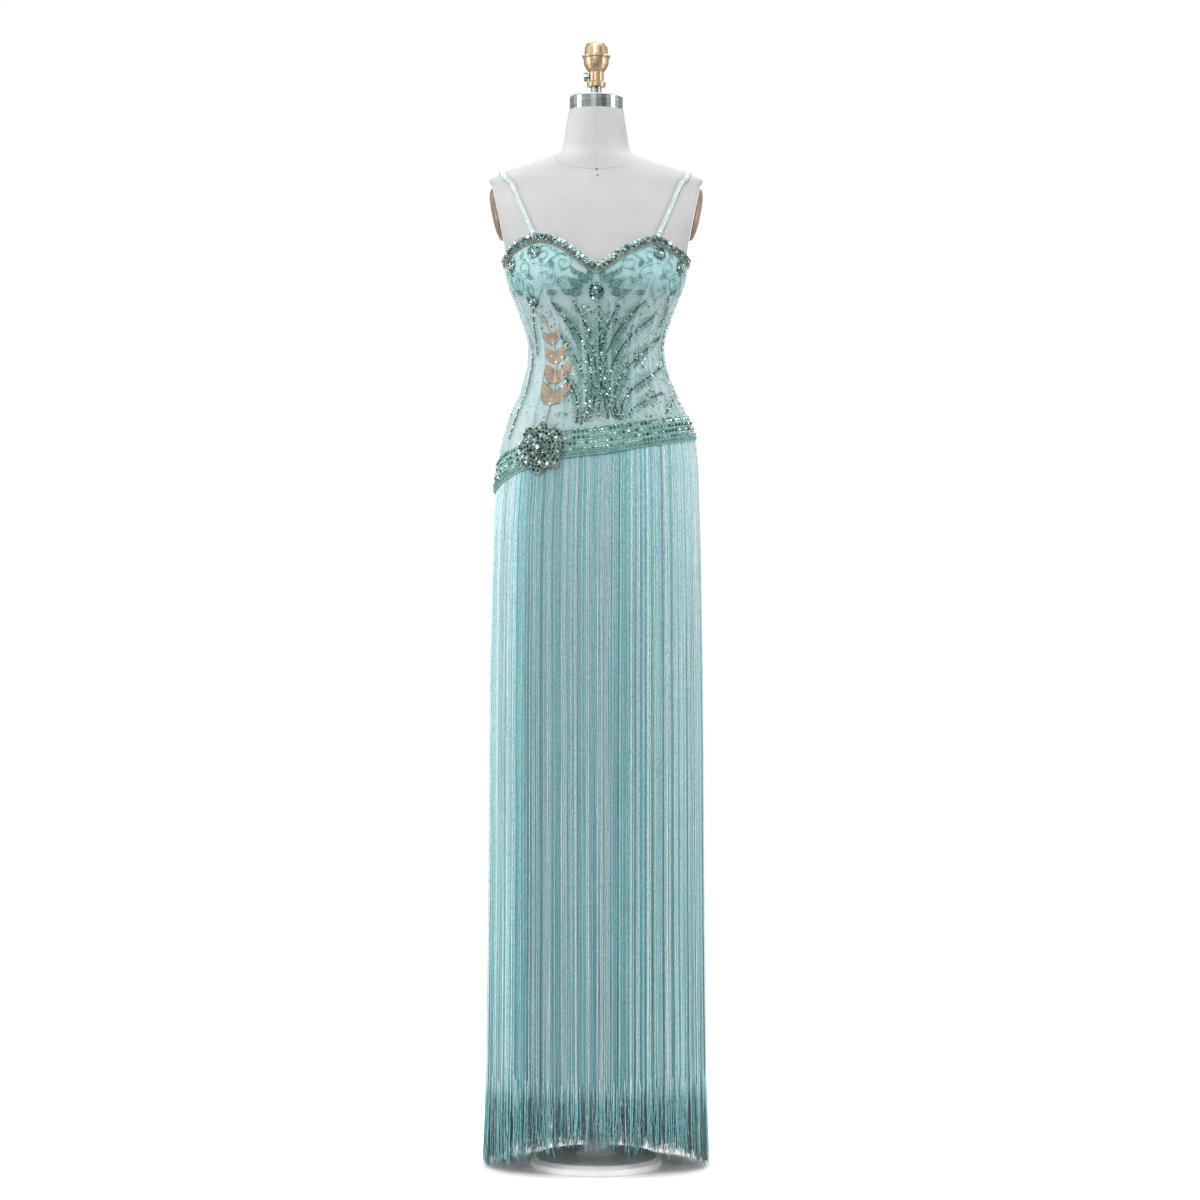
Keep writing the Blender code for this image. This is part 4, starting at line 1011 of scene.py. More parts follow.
def neckline_rows(stones, seeds, tans):
    """The rows of stones and beads on the neckline's edge."""
    for sign in (-1.0, 1.0):
        fine = sign * np.linspace(0.6, 88.0, 300)
        width = upright_width(fine, TRIM_WIDTH)
        for share, pitch, size, low, high, box, rise in EDGE_ROWS:
            angle, z = spaced(fine, neckline(fine) - width * share, pitch)
            count = len(angle)
            place = {"stone": stones, "seed": seeds, "tan": tans}[box]
            place.on_net(angle, z, TRIM_LIFT + rise, size * CHANCE.uniform(0.8, 1.2, count),
                         CHANCE.uniform(low, high, count))
        angle, z = spaced(fine, neckline(fine) - width * 0.42, EDGE_PITCH)
        shift = 0.5 * EDGE_PITCH / metres_per_degree(angle, z)
        stones.on_net(angle + sign * shift, z, TRIM_LIFT + 1.3, 3.6, CHANCE.uniform(0.0, 0.35, len(angle)))
        back = sign * np.linspace(92.0, 178.0, 200)
        for share in (0.25, 0.7):
            angle, z = spaced(back, neckline(back) - BACK_TRIM_WIDTH * share, 0.0034)
            seeds.on_net(angle, z, TRIM_LIFT + 1.0, 2.6, CHANCE.uniform(0.3, 0.9, len(angle)))


def leaf(box, angle, z, heading, length, tone, size=2.3):
    """A leaf filled with rows of beads. heading is in degrees from straight up, to the right."""
    steps = max(5, int(length / 0.0021))
    along = np.linspace(0.0, 1.0, steps)
    swell = np.sin(math.pi * along ** 0.8) * length * 0.23
    turn = math.radians(heading)
    rows = 2 * int(round(length * 0.23 / 0.0021)) + 1
    for side in np.linspace(-1.0, 1.0, max(rows, 3)):
        far = along * length
        wide = swell * side
        right = far * math.sin(turn) + wide * math.cos(turn)
        up = far * math.cos(turn) - wide * math.sin(turn)
        inner = abs(side) < 0.8
        if inner:
            right, up = right[1:-1], up[1:-1]
        places = beside(angle, z, right, up)
        tones = tone + (0.08 if inner else -0.20) + CHANCE.uniform(-0.22, 0.22, len(right))
        box.on_net(*places, 1.5 if inner else 1.0, size, np.clip(tones, 0.0, 1.0))


# Columns: foot angle, foot z, tip angle, tip z, bow, leaf, kind
FRONDS = (
    (0.0, 1.192, 1.0, 1.370, 2.0, 0.017, "teal"),
    (5.0, 1.190, 17.0, 1.380, -7.0, 0.018, "teal"),
    (-4.0, 1.186, -15.0, 1.378, 7.0, 0.018, "teal"),
    (8.0, 1.192, 34.0, 1.376, -11.0, 0.019, "dark"),
    (-7.0, 1.184, -31.0, 1.374, 11.0, 0.019, "dark"),
    (10.0, 1.190, 52.0, 1.360, -14.0, 0.018, "teal"),
    (-9.0, 1.180, -30.0, 1.322, 8.0, 0.016, "teal"),
    (12.0, 1.188, 67.0, 1.322, -16.0, 0.018, "dark"),
    (15.0, 1.188, 63.0, 1.272, -12.0, 0.016, "teal"),
    (18.0, 1.192, 54.0, 1.232, -4.0, 0.013, "teal"),
    (-12.0, 1.182, -27.0, 1.262, 4.0, 0.013, "dark"),
    (48.0, 1.198, 72.0, 1.232, 3.0, 0.010, "pale"),
    (-66.0, 1.160, -74.0, 1.330, 5.0, 0.009, "pale"),
    (74.0, 1.215, 76.0, 1.345, -4.0, 0.009, "pale"),
    (-58.0, 1.290, -50.0, 1.368, -4.0, 0.012, "pale"),
    (60.0, 1.335, 56.0, 1.385, 4.0, 0.012, "pale"),
)
SPRIG = (-33.0, 1.180, -43.0, 1.345, 4.0)
FROND_TONES = {"pale": (0.50, 0.95), "teal": (0.25, 0.80), "dark": (0.05, 0.60)}


def bowed(foot_angle, foot_z, tip_angle, tip_z, bow):
    """A curve from a foot to a tip, leaning aside in between, and its heading from straight up."""
    share = np.linspace(0.0, 1.0, 160)
    angle = foot_angle + (tip_angle - foot_angle) * share ** 1.25 + bow * np.sin(share * math.pi)
    z = foot_z + (tip_z - foot_z) * share ** 0.9
    run = np.gradient(angle) * metres_per_degree(angle, z)
    return angle, z, np.degrees(np.arctan2(run, np.gradient(z)))


def make_fronds(stones, seeds, tans):
    """Fern fronds in beads, rising from the band's middle and curling out to both sides."""
    for foot_angle, foot_z, tip_angle, tip_z, bow, length, kind in FRONDS:
        darkest, lightest = FROND_TONES[kind]
        angle, z, heading = bowed(foot_angle, foot_z, tip_angle, tip_z, bow)
        line = spaced(angle, z, 0.0036)
        stones.on_net(*line, 1.5, 3.0, CHANCE.choice([0.02, 0.15, 0.95], len(line[0]), p=(0.5, 0.3, 0.2)))
        for at, height in zip(*spaced(angle, z, 0.0058)):
            near = int(np.argmin(np.abs(z - height)))
            done = near / len(z)
            reach = length * math.sin(math.pi * (0.12 + 0.84 * done)) ** 0.7
            for side in (-1, 1):
                lean = math.radians(heading[near] + side * (62.0 - 26.0 * done))
                away = np.arange(0.0026, reach, 0.0021)
                right, up = away * math.sin(lean), away * math.cos(lean) + away ** 2 * 12.0
                places = beside(at, height, right, up)
                tones = darkest + (lightest - darkest) * CHANCE.uniform(0.0, 1.0, len(away))
                seeds.on_net(*places, 1.1, 2.5 - 0.6 * away / reach, tones)
    make_sprig(stones, tans)


def make_sprig(stones, tans):
    """A tan stem with four pairs of filled leaves."""
    angle, z, heading = bowed(*SPRIG)
    tans.on_net(*spaced(angle, z, 0.0021), 1.4, 2.4, 0.75)
    for pair, share in enumerate((0.16, 0.36, 0.56, 0.76)):
        near = int(share * len(z))
        for side in (-1, 1):
            leaf(tans, angle[near], z[near], heading[near] + side * 38.0, 0.046 - 0.006 * pair, 0.74, 2.1)
        stones.on_net(angle[near], z[near], 1.9, 3.8, 0.9)
    leaf(tans, angle[-8], z[-8], heading[-8], 0.020, 0.74, size=2.1)


ZIGZAGS = (-24.0, -8.0, 9.0, 24.0, 38.0, 54.0)


def make_chevrons(seeds):
    """Fine zigzag lines of pale beads between the fronds."""
    for middle in ZIGZAGS:
        foot_z = float(band_height(middle, 0.0)) + 0.006
        top = 1.352 - 0.0009 * abs(middle)
        steps = int((top - foot_z) / 0.0017)
        z = np.linspace(foot_z, top, steps)
        swing = 0.0030 * (np.abs((np.arange(steps) % 8) - 4) / 2.0 - 1.0)
        angle = middle + swing / metres_per_degree(np.full(steps, middle), z)
        seeds.on_net(angle, z, 0.9, 2.0, CHANCE.uniform(0.7, 1.0, steps))


# Columns: angle, z, size, turns, heading, hand
SCROLLS = (
    (18.0, 1.432, 0.016, 1.4, 30.0, 1),
    (31.0, 1.446, 0.015, 1.3, 150.0, -1),
    (30.0, 1.410, 0.018, 1.4, 80.0, 1),
    (46.0, 1.424, 0.016, 1.3, -40.0, -1),
    (56.0, 1.405, 0.016, 1.4, 60.0, 1),
    (44.0, 1.392, 0.014, 1.2, 200.0, 1),
    (20.0, 1.400, 0.013, 1.2, 210.0, -1),
    (70.0, 1.420, 0.013, 1.2, 120.0, -1),
    (68.0, 1.395, 0.012, 1.2, 10.0, 1),
)


# Columns: angle, z, heading, length
CUP_LEAVES = (
    (2.5, 1.404, 12.0, 0.018), (4.5, 1.401, 42.0, 0.024), (7.0, 1.395, 66.0, 0.026),
    (8.5, 1.387, 92.0, 0.024), (11.0, 1.413, 30.0, 0.014), (14.0, 1.385, 74.0, 0.018),
    (25.0, 1.388, 95.0, 0.016), (58.0, 1.388, 60.0, 0.014), (24.0, 1.424, 20.0, 0.014),
    (38.0, 1.408, 60.0, 0.014), (50.0, 1.440, -30.0, 0.012), (63.0, 1.416, 20.0, 0.013),
)


def make_scrolls(seeds):
    """Raised tone-on-tone scrolls on both cups, with small beads beside them."""
    lines = []
    for at, height, size, turns, heading, hand in SCROLLS:
        turn = np.linspace(0.0, turns * 2 * math.pi, 46)
        reach = size * (1.0 - turn / turn[-1] * 0.82)
        tail = np.linspace(1.6, 1.0, 8)[:-1]
        bend = math.radians(heading)
        spin = hand * turn + bend
        right = reach * np.cos(spin)
        up = reach * np.sin(spin)
        right = np.concatenate([size * tail * np.cos(bend - hand * (tail - 1.0)), right])
        up = np.concatenate([size * tail * np.sin(bend - hand * (tail - 1.0)), up])
        for sign in (-1.0, 1.0):
            angle, z = beside(sign * at, height, sign * right, up)
            keep = z < neckline(angle) - upright_width(angle, TRIM_WIDTH) - 0.001
            angle, z = angle[keep], z[keep]
            if len(angle) < 6:
                continue
            lines.append(lifted(FORM, angle, z, net_lift(z) + 0.8))
            beads = spaced(angle, z, 0.0030)
            edge = beside(beads[0], beads[1], 0.0016, 0.0012)
            seeds.on_net(*edge, 0.8, 1.7, CHANCE.uniform(0.3, 0.8, len(edge[0])))
            for place in (0.30, 0.52):
                k = int(place * len(angle))
                leaf(seeds, angle[k], z[k], sign * (heading + 150.0 * place), 0.0085, 0.5, size=1.8)
    for angle, height, heading, length in CUP_LEAVES:
        for sign in (-1.0, 1.0):
            leaf(seeds, sign * angle, height, sign * heading, length, 0.25, size=2.0)
    return laid_cords("cup_scrolls", lines, 0.0009, "cord")


def sprinkle(stones, seeds):
    """Loose beads and stones over the net: close at the front, thin at the sides and the back."""
    count = 1500
    angle = np.clip(CHANCE.normal(8.0, 26.0, count), -86.0, 86.0)
    top = np.minimum(neckline(angle) - 0.020, 1.376)
    foot = band_height(angle, 0.0) + 0.004
    z = foot + (top - foot) * CHANCE.uniform(0.0, 1.0, count)
    seeds.on_net(angle, z, 0.7, CHANCE.uniform(1.3, 2.2, count), CHANCE.uniform(0.25, 0.90, count))
    count = 1100
    angle = np.concatenate([CHANCE.uniform(40.0, 178.0, count), CHANCE.uniform(-178.0, -40.0, count)])
    top = neckline(angle) - 0.019
    z = band_height(angle, 0.0) + (top - band_height(angle, 0.0)) * CHANCE.uniform(0, 1, 2 * count)
    seeds.on_net(angle, z, 0.7, CHANCE.uniform(1.2, 2.0, 2 * count), CHANCE.uniform(0.4, 1.0, 2 * count))
    count = 260
    angle = np.clip(CHANCE.normal(8.0, 34.0, count), -80.0, 80.0)
    z = 1.19 + CHANCE.uniform(0.0, 0.18, count)
    stones.on_net(angle, z, 1.3, CHANCE.uniform(2.6, 3.8, count), CHANCE.uniform(0.0, 1.0, count))
    for line in (-91.2, -88.8, 88.8, 91.2):
        z = np.arange(float(band_height(line, 0.0)) + 0.003, float(neckline(line)) - 0.018, 0.0042)
        seeds.on_net(line, z, 0.9, 2.2, CHANCE.uniform(0.1, 0.9, len(z)))


# The band

BAND_SHARES = np.array([0.0, 0.10, 0.22, 0.34, 0.46, 0.56, 0.62, 0.68, 0.80, 0.92, 1.0])
BAND_RISES = np.array([0.0, 0.7, 0.2, 0.9, 0.4, 1.0, 1.6, 2.2, 2.6, 2.4, 1.9])


def band_lift(share):
    return BAND_LIFT + np.interp(share, BAND_SHARES, BAND_RISES)


def make_band():
    bands = []
    for (name, start, end), steps in zip(SIDE_SEAMED, (70, 140, 70)):
        grid = cloth_grid(start, end, steps, 21, lambda angle: band_height(angle, 0.0),
                          lambda angle: band_height(angle, 1.0))
        lift = band_lift(grid[2])
        bands.append(cloth(f"beaded_band_{name}", FORM, grid, lift, lift - 1.0, "band", "beadwork",
                           f"hip_band_{name}"))
    return bands


# Columns: share, pitch, size, darkest, lightest, kind
BAND_ROWS = (
    (0.045, 0.0030, 2.8, 0.00, 0.9, "bead"),
    (0.13, 0.0062, 4.4, 0.00, 1.0, "stone"),
    (0.225, 0.0027, 2.3, 0.45, 1.0, "bead"),
    (0.33, 0.0070, 5.0, 0.00, 1.0, "stone"),
    (0.43, 0.0027, 2.3, 0.35, 0.9, "bead"),
    (0.54, 0.0064, 5.2, 0.00, 1.0, "stone"),
    (0.64, 0.0027, 2.3, 0.30, 0.9, "bead"),
    (0.74, 0.0058, 4.2, 0.00, 0.9, "stone"),
    (0.83, 0.0028, 2.4, 0.15, 0.7, "bead"),
    (0.91, 0.0030, 2.8, 0.00, 0.5, "bead"),
)


def band_rows(stones, seeds):
    fine = np.linspace(-179.5, 179.5, 1400)
    for share, pitch, size, low, high, kind in BAND_ROWS:
        angle, z = spaced(fine, band_height(fine, share), pitch)
        box = stones if kind == "stone" else seeds
        box.add(angle, z, band_lift(share) + 0.5, size, CHANCE.uniform(low, high, len(angle)))


# Rosettes

def ring_of(angle, z, reach, turn):
    """Places round a rosette's middle, at some metres from it."""
    return beside(angle, z, reach * np.cos(turn), reach * np.sin(turn))


def make_rosettes(stones, seeds, tans):
    """Small flowers of stones: a raised middle, two rings of petals and a rim of beads."""
    for name, angle, z, radius in ROSETTES:
        rosette_base(name, angle, z, radius, 2.0, 1.1 + NET_LIFT + float(over_cup(z)), 6)
        lift = net_lift(z) + 1.4
        stones.add(angle, z, lift + 2.4, 4.6, 0.85)
        for ring, (share, count, size, rise) in enumerate(((0.44, 7, 4.2, 1.8), (0.82, 13, 4.0, 1.0))):
            turn = np.arange(count) * 2 * math.pi / count + ring * 0.3
            sizes = size * radius / USUAL_RADIUS * CHANCE.uniform(0.85, 1.1, count)
            at = ring_of(angle, z, radius * MM * share, turn)
            stones.add(*at, lift + rise, sizes, dark_and_clear(count))
        turn = np.arange(18) * 2 * math.pi / 18
        seeds.add(*ring_of(angle, z, radius * MM, turn), lift + 0.5, 2.2, CHANCE.uniform(0.0, 0.5, 18))
    hip_rosette(stones, tans)


def dark_and_clear(count):
    """Tones for a mixed handful of stones: mostly dark or grey, some clear, a few bright."""
    return CHANCE.choice([0.02, 0.25, 0.5, 0.95], count, p=(0.36, 0.32, 0.20, 0.12))


def rosette_base(name, angle, z, radius, dome, lift, petals, notch=0.10):
    """The stiffened cloth that carries a rosette's stones: a shallow petalled dome."""
    cols, rings = petals * 8, 9
    turn = np.arange(cols) * 2 * math.pi / cols
    petal = 0.5 + 0.5 * np.cos(petals * turn)
    share = np.linspace(0.04, 1.0, rings)[:, None]
    reach = radius * MM * share * (1.0 - notch * share * (1.0 - petal))
    at, height = ring_of(angle, z, reach, turn)
    rise = np.broadcast_to(dome * (1.0 - share ** 2), at.shape)
    outer = lifted(FORM, at, height, lift + 0.6 + rise)
    inner = lifted(FORM, at, height, lift + 0.2 * rise)
    points = np.concatenate([outer.reshape(-1, 3), inner.reshape(-1, 3)])
    faces = wall_faces(rings, cols, closed=True)
    made = new_piece(name + "_base", points, faces, FINISH["band"], points[:, [0, 2]])
    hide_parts(name)


def hip_rosette(stones, tans):
    """The large flower at the hip: packed stones, a rim of tan beads round eight petals."""
    angle, z, radius = HIP_ROSETTE
    lift = 8.0
    rosette_base("rosette_hip", angle, z, radius, 5.0, lift, 8, notch=0.2)
    stones.add(angle, z, lift + 7.6, 9.0, 0.9)
    rings = ((0.17, 7, 6.2, 6.6), (0.32, 13, 6.0, 5.9), (0.46, 19, 5.8, 5.0), (0.60, 25, 5.6, 4.1))
    for ring, (share, count, size, rise) in enumerate(rings):
        turn = np.arange(count) * 2 * math.pi / count + ring * 0.21
        at = ring_of(angle, z, radius * MM * share * CHANCE.uniform(0.96, 1.04, count), turn)
        stones.add(*at, lift + rise, size * CHANCE.uniform(0.8, 1.1, count), dark_and_clear(count))
        between = ring_of(angle, z, radius * MM * (share + 0.07), turn + 0.2)
        tans.add(*between, lift + rise, 2.4, CHANCE.uniform(0.5, 1.0, count))
    for petal in range(8):
        middle = petal * math.pi / 4
        for share, spread in ((0.75, (-0.27, -0.09, 0.09, 0.27)), (0.89, (-0.18, 0.0, 0.18))):
            at = ring_of(angle, z, radius * MM * share, middle + np.array(spread))
            stones.add(*at, lift + 3.3 - share, 5.4, dark_and_clear(len(spread)))
        rim = middle + np.linspace(-0.38, 0.38, 15)
        reach = radius * MM * (1.02 - 0.20 * (1.0 - np.cos(8 * (rim - middle))) / 2)
        tans.add(*ring_of(angle, z, reach, rim), lift + 0.9, 2.5, CHANCE.uniform(0.3, 1.0, 15))


# Slip and fringe

def make_slip():
    slips = []
    for (name, start, end), steps in zip(SIDE_SEAMED, (60, 120, 60)):
        grid = cloth_grid(start, end, steps, 50, lambda angle: band_middle(angle) - 0.0005,
                          lambda angle: np.full(angle.shape, SLIP_HEM))
        turn, z = np.radians(grid[0]), grid[1]
        free = np.clip((0.98 - z) / 0.5, 0.0, 1.0)
        fold = free * (0.9 * np.sin(turn * 11.0 + 2.0 * z) + 0.6 * np.sin(turn * 23.0))
        slips.append(cloth(f"satin_slip_{name}", SLIP_SHAPE, grid, 1.5 + fold, 0.9 + fold,
                           "satin", "slip_satin", f"slip_{name}"))
    return slips


# Shares of the way down a yarn, close together where its end is loose
FRINGE_LEVELS = np.array([0.0, 0.015, 0.04, 0.08, 0.15, 0.27, 0.41, 0.55, 0.68, 0.78, 0.85, 0.885, 0.905,
                          0.92, 0.935, 0.95, 0.965, 0.982, 1.0])
HEM_ENDS_TOP = 0.146
HEM_ENDS_LEVELS = np.array([0.0, 0.2, 0.4, 0.58, 0.74, 0.88, 1.0])
LOCK_WIDTH = 1.9


def strand_line(angle, z):
    """Where a yarn hangs: close over the hips at first, then clear of them."""
    near = lifted(FORM, angle, z, YARN_LIFT)
    hang = skin(FRINGE_SHAPE, angle, z)
    share = np.clip((1.10 - z) / 0.06, 0.0, 1.0)[..., None]
    return near + (hang - near) * share * share * (3 - 2 * share)


def even_angles(start, end, count):
    """Angles that step round the fringe in equal lengths."""
    fine = np.linspace(start, end, 721)
    points = skin(FRINGE_SHAPE, fine, np.full(fine.shape, 0.6))
    length = np.concatenate([[0.0], np.cumsum(np.linalg.norm(np.diff(points, axis=0), axis=1))])
    return np.interp(np.linspace(0.0, length[-1], count), length, fine)


def swaying(chance, z, waves):
    """Each yarn's own sum of waves down its length."""
    yarns = len(z)
    return sum(
        chance.normal(0.0, size, (yarns, 1)) * np.sin(z * pace + chance.uniform(0, 6.28, (yarns, 1)))
        for size, pace in waves
    )


def hung_yarns(chance, start, end, yarns, gather, top, levels):
    """Lines of yarns hanging side by side in layers from a height, their free ends gathered into
    small uneven locks; returns their points, thicknesses and tones, the tones with painted light:
    lighter at the sides, darker lower down, and nearly black at the hem for the shade inside it."""
    angle = np.clip(even_angles(start, end, yarns) + chance.normal(0.0, 0.16, yarns), start, end)
    lock = np.floor((angle - start) / LOCK_WIDTH + chance.normal(0.0, 0.25, yarns))
    lock = np.clip(lock, 0, None).astype(int)
    lock_tip = chance.uniform(-0.009, 0.009, lock.max() + 1)
    lock_pull = gather * chance.uniform(0.1, 0.9, lock.max() + 1)
    lock_lean = gather * chance.normal(0.0, 0.9, lock.max() + 1)
    top = band_height(angle, 0.90) if top is None else chance.uniform(top - 0.012, top + 0.012, yarns)
    tip = through(pick(FRINGE_ENDS, 0), pick(FRINGE_ENDS, 1), angle)
    tip = np.maximum(tip + lock_tip[lock] + chance.normal(0.0, 0.004, yarns), 0.004)
    z = top[:, None] + (tip - top)[:, None] * levels[None, :]
    free = np.clip((0.17 - z) / 0.17, 0.0, 1.0) ** 1.4
    centre = start + (lock + 0.5) * LOCK_WIDTH
    drift = ((centre - angle) * lock_pull[lock] * 0.8 + lock_lean[lock])[:, None] * free
    wander = swaying(chance, z, ((0.10, 9.0), (0.05, 23.0)))
    ripple = swaying(chance, z, ((0.8, 110.0), (0.5, 260.0)))
    turned = angle[:, None] + drift + wander * np.clip((1.05 - z) / 0.4, 0.0, 1.0) + ripple * free
    bright = chance.uniform(0.0, 1.0, yarns) < 0.10
    layer = np.where(bright, 1.0, chance.uniform(-1.0, 0.8, yarns))[:, None]
    middle = strand_line(turned, z)
    away = outward(FRINGE_SHAPE, turned, z) * [1.0, 1.0, 0.0]
    away /= np.linalg.norm(away, axis=-1, keepdims=True)
    depth = layer * (0.5 + 1.3 * np.clip((1.05 - z) / 0.3, 0.0, 1.0))
    depth = depth + chance.normal(0, 2.2, (yarns, 1)) * free
    middle = middle + away * depth[..., None] * MM
    thick = np.where(bright, 0.42, chance.uniform(0.24, 0.38, yarns))[:, None]
    thick = thick * (1.0 - 0.3 * (levels > 0.98))
    tone = (0.60 + chance.normal(0.0, 0.18, yarns))[:, None]
    dark = (chance.uniform(0.0, 1.0, yarns) < 0.11)[:, None]
    tone = np.where(dark, tone - 0.32, tone)
    # Painted highlight: yarns towards the sides are made lighter, more so higher up, where the side lights
    # fall on the fringe.
    aside = np.clip((np.abs(angle) - 38.0) / 40.0, 0.0, 1.0)[:, None]
    tone = tone + 0.32 * aside * np.clip((z - 0.25) / 0.75, 0.0, 1.0)
    # Painted shade: every yarn is made darker lower down, from 0.75 m to the hem.
    tone = tone - 0.19 * np.clip((0.75 - z) / 0.6, 0.0, 1.0)
    # Painted shade: below 15 cm most yarns turn nearly black and the lightest ones darker, for the shade
    # inside the skirt.
    ends = np.clip((0.150 - z) / 0.04, 0.0, 1.0)
    mixed = chance.choice([0.0, 0.10, 0.40, 0.62], yarns, p=(0.64, 0.16, 0.13, 0.07))[:, None]
    tone = tone + (mixed - tone) * 0.92 * ends
    tone = np.clip(np.where(bright[:, None], 0.95 - 0.45 * ends, tone), 0.0, 1.0)
    return middle, thick * MM, tone


def make_fringe(name, start, end, yarns, ends, gather, seed):
    """One length of fringe: yarns from the band down, and the loose ends that make its hem dense."""
    chance = np.random.default_rng(seed)
    long = hung_yarns(chance, start, end, yarns, gather, None, FRINGE_LEVELS)
    short = hung_yarns(chance, start, end, ends, gather, HEM_ENDS_TOP, HEM_ENDS_LEVELS)
    lines, thick, tones = ([*rows, *more] for rows, more in zip(long, short))
    made = swept(f"fringe_yarns_{name}", lines, thick, 3, "yarn", tones)
    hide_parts(f"fringe_{name}")
    return made


def make_fringes():
    return [make_fringe("back_left", -179.8, -90.2, 760, 420, 0.3, 21),
            make_fringe("front", -89.8, 89.8, 1050, 800, 1.0, 22),
            make_fringe("back_right", 90.2, 179.8, 760, 420, 0.3, 23)]


def make_zip():
    """The hidden zip at the centre back: its two lips and a small drop puller at the top."""
    z = np.linspace(1.428, 1.165, 70)
    lines = [lifted(FORM, np.full(70, 180.0 + shift), z, net_lift(z) + 0.6) for shift in (-0.45, 0.45)]
    laid_cords("zip_lips", lines, 0.0007, "casing")
    box = Workbox()
    box.on_net(180.0, 1.421, 1.6, 4.4, 0.5)
    box.add([180.0, 180.0], [1.4165, 1.4135], net_lift(1.415) + 1.8, 3.2, 0.6)
    box.sew("zip_puller", "bead", 0.5, "steel", "steel", 4)


# Light and view

def make_floor():
    """A round white sheet of paper under the stand."""
    turn = np.linspace(0.0, 2 * math.pi, 97)[:-1]
    rim = np.stack([FLOOR_RADIUS * np.cos(turn), FLOOR_RADIUS * np.sin(turn), np.zeros(96)], axis=1)
    mesh = bpy.data.meshes.new("studio_floor")
    mesh.from_pydata(rim.tolist(), [], [tuple(range(96))])
    floor = bpy.data.objects.new("studio_floor", mesh)
    bpy.context.scene.collection.objects.link(floor)
    mesh.materials.append(FINISH["paper"])


FLOOR_RADIUS = 1.3
# Columns: name, place, aim, wide, tall, power
LIGHTS = (
    ("left_softbox", (-2.5, -0.5, 1.2), (0.0, 0.0, 0.9), 0.9, 2.2, 36.0),
    ("right_softbox", (2.5, -0.5, 1.2), (0.0, 0.0, 0.9), 0.9, 2.2, 33.0),
    ("front_overhead", (-0.6, -2.6, 3.2), (0.0, 0.0, 0.8), 1.8, 1.2, 74.0),
    ("back_overhead", (0.4, 2.6, 3.2), (0.0, 0.0, 0.9), 1.8, 1.2, 50.0),
    ("floor_light", (0.0, 0.0, 3.6), (0.0, 0.0, 0.0), 2.4, 2.4, 40.0),
)
ROOM_TONES = ((0.0, 0.16), (0.14, 0.22), (0.30, 0.80), (0.5, 0.70), (1.0, 0.45))


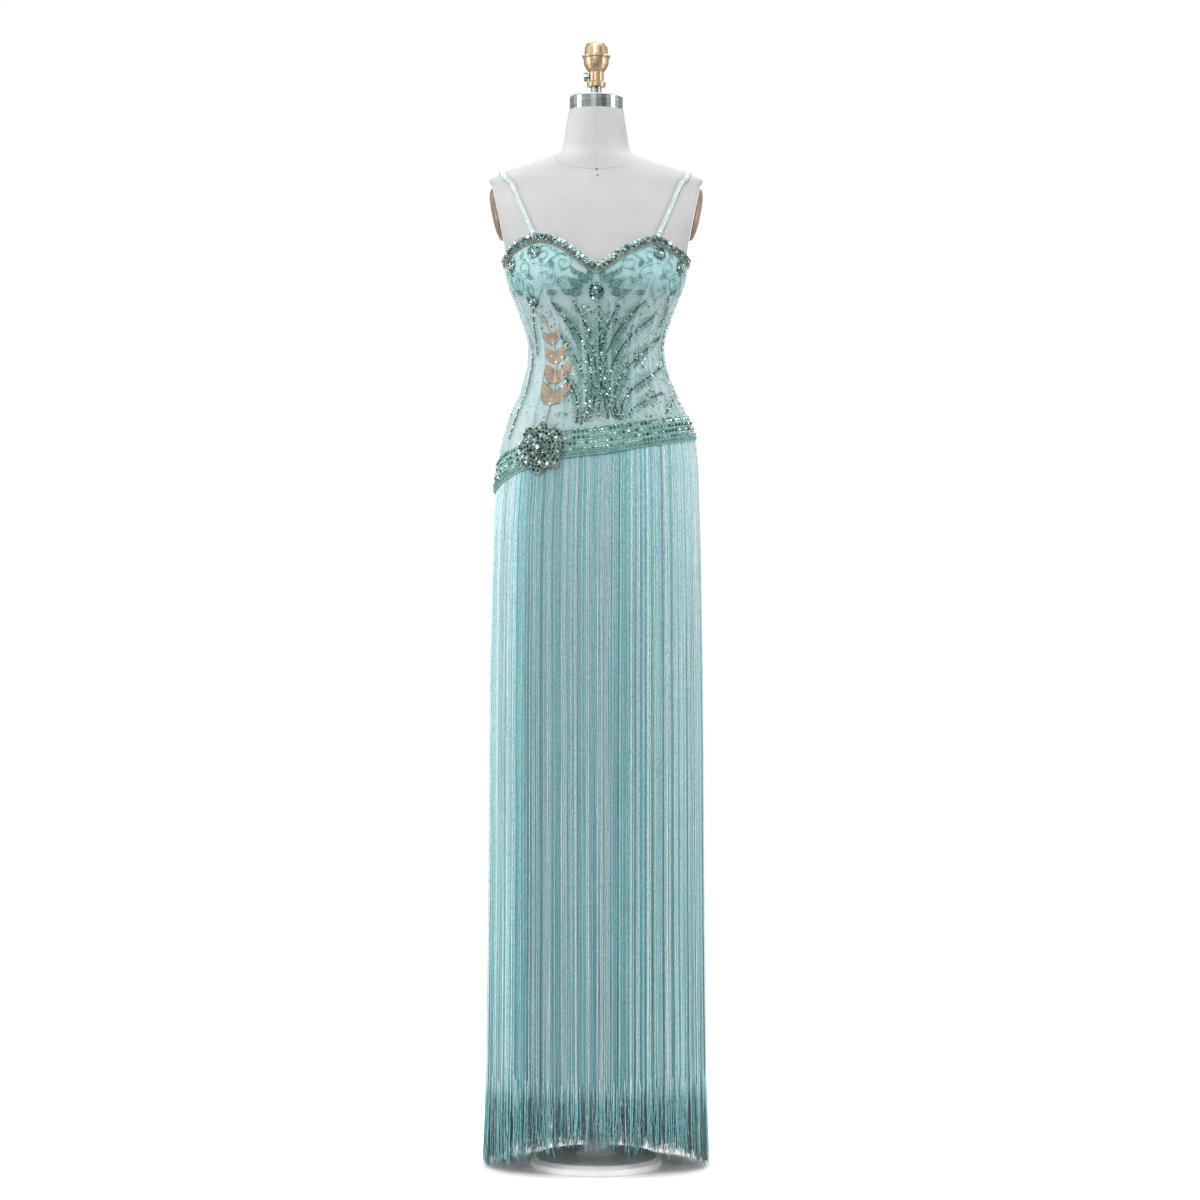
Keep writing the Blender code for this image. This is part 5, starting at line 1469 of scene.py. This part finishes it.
def make_lights():
    """A white room as the camera sees it, dim in front of the gown, and tall soft lights at both sides."""
    scene = bpy.context.scene
    scene.view_settings.view_transform = "Standard"
    scene.world = bpy.data.worlds.new("studio")
    scene.world.use_nodes = True
    tree = scene.world.node_tree
    room = tree.nodes["Background"]
    way = node(tree, "ShaderNodeTexCoord")
    parts = node(tree, "ShaderNodeSeparateXYZ")
    depth = node(tree, "ShaderNodeMapRange")
    depth.inputs["From Min"].default_value = -1.0
    tones = node(tree, "ShaderNodeValToRGB")
    for place, (at, tone) in enumerate(ROOM_TONES):
        stop = tones.color_ramp.elements[place] if place < 2 else tones.color_ramp.elements.new(at)
        stop.position = at
        stop.color = (tone, tone, tone, 1.0)
    link(tree, way.outputs["Generated"], parts.inputs["Vector"])
    link(tree, parts.outputs["Y"], depth.inputs["Value"])
    link(tree, depth.outputs["Result"], tones.inputs["Fac"])
    link(tree, tones.outputs["Color"], room.inputs["Color"])
    white = node(tree, "ShaderNodeBackground")
    white.inputs["Color"].default_value = (1.0, 1.0, 1.0, 1.0)
    seen = node(tree, "ShaderNodeLightPath")
    mix = node(tree, "ShaderNodeMixShader")
    link(tree, seen.outputs["Is Camera Ray"], mix.inputs["Fac"])
    link(tree, room.outputs["Background"], mix.inputs[1])
    link(tree, white.outputs["Background"], mix.inputs[2])
    link(tree, mix.outputs["Shader"], tree.nodes["World Output"].inputs["Surface"])
    for name, place, aim, wide, tall, power in LIGHTS:
        lamp = bpy.data.lights.new(name, "AREA")
        lamp.energy = power
        lamp.shape = "RECTANGLE"
        lamp.size = wide
        lamp.size_y = tall
        made = bpy.data.objects.new(name, lamp)
        made.location = place
        toward = Vector(aim) - Vector(place)
        made.rotation_euler = toward.to_track_quat("-Z", "Y").to_euler()
        bpy.context.scene.collection.objects.link(made)


def make_camera():
    lens = bpy.data.cameras.new("camera")
    lens.sensor_width = FILM_WIDTH
    lens.lens = FILM_WIDTH * VIEW_DISTANCE / VIEW_WIDTH
    camera = bpy.data.objects.new("camera", lens)
    camera.location = (VIEW_SIDE, -VIEW_DISTANCE, VIEW_HEIGHT)
    camera.rotation_euler = (math.pi / 2, 0.0, 0.0)
    bpy.context.scene.collection.objects.link(camera)
    bpy.context.scene.camera = camera


CHANCE = np.random.default_rng(7)
FINISH = make_finishes()
SEWN = {shape: sewn_tree(shape) for shape in BEAD_SHAPES}
SWEPT = swept_tree()

make_camera()
make_floor()
make_lights()
make_form_cover()
make_form_seams()
refinish_metal()
cups = make_cups()
net = make_net()
casings = make_casings()
trims = make_trims()
straps = make_straps()
bands = make_band()
slips = make_slip()
fringes = make_fringes()
make_zip()

stones, tans = Workbox(), Workbox()
edge_beads, frond_beads, bodice_beads = Workbox(), Workbox(), Workbox()
cup_beads, band_beads, rosette_beads = Workbox(), Workbox(), Workbox()
neckline_rows(stones, edge_beads, tans)
strap_beads(edge_beads)
make_fronds(stones, frond_beads, tans)
make_chevrons(bodice_beads)
scrolls = make_scrolls(cup_beads)
sprinkle(stones, bodice_beads)
band_rows(stones, band_beads)
make_rosettes(stones, rosette_beads, tans)
stones.sew("cut_stones", "stone", 1.0, "stone", "stones", 11)
tans.sew("tan_beads", "bead", 0.9, "tan", "beadwork", 12)
edge_beads.sew("edge_beads", "bead", 0.9, "seed", "beadwork", 13)
frond_beads.sew("frond_beads", "fine bead", 1.0, "seed", "beadwork", 14)
bodice_beads.sew("bodice_beads", "fine bead", 1.0, "seed", "beadwork", 17)
cup_beads.sew("cup_beads", "fine bead", 1.0, "seed", "beadwork", 18)
band_beads.sew("band_beads", "bead", 0.9, "seed", "beadwork", 15)
rosette_beads.sew("rosette_beads", "bead", 0.9, "seed", "stones", 16)
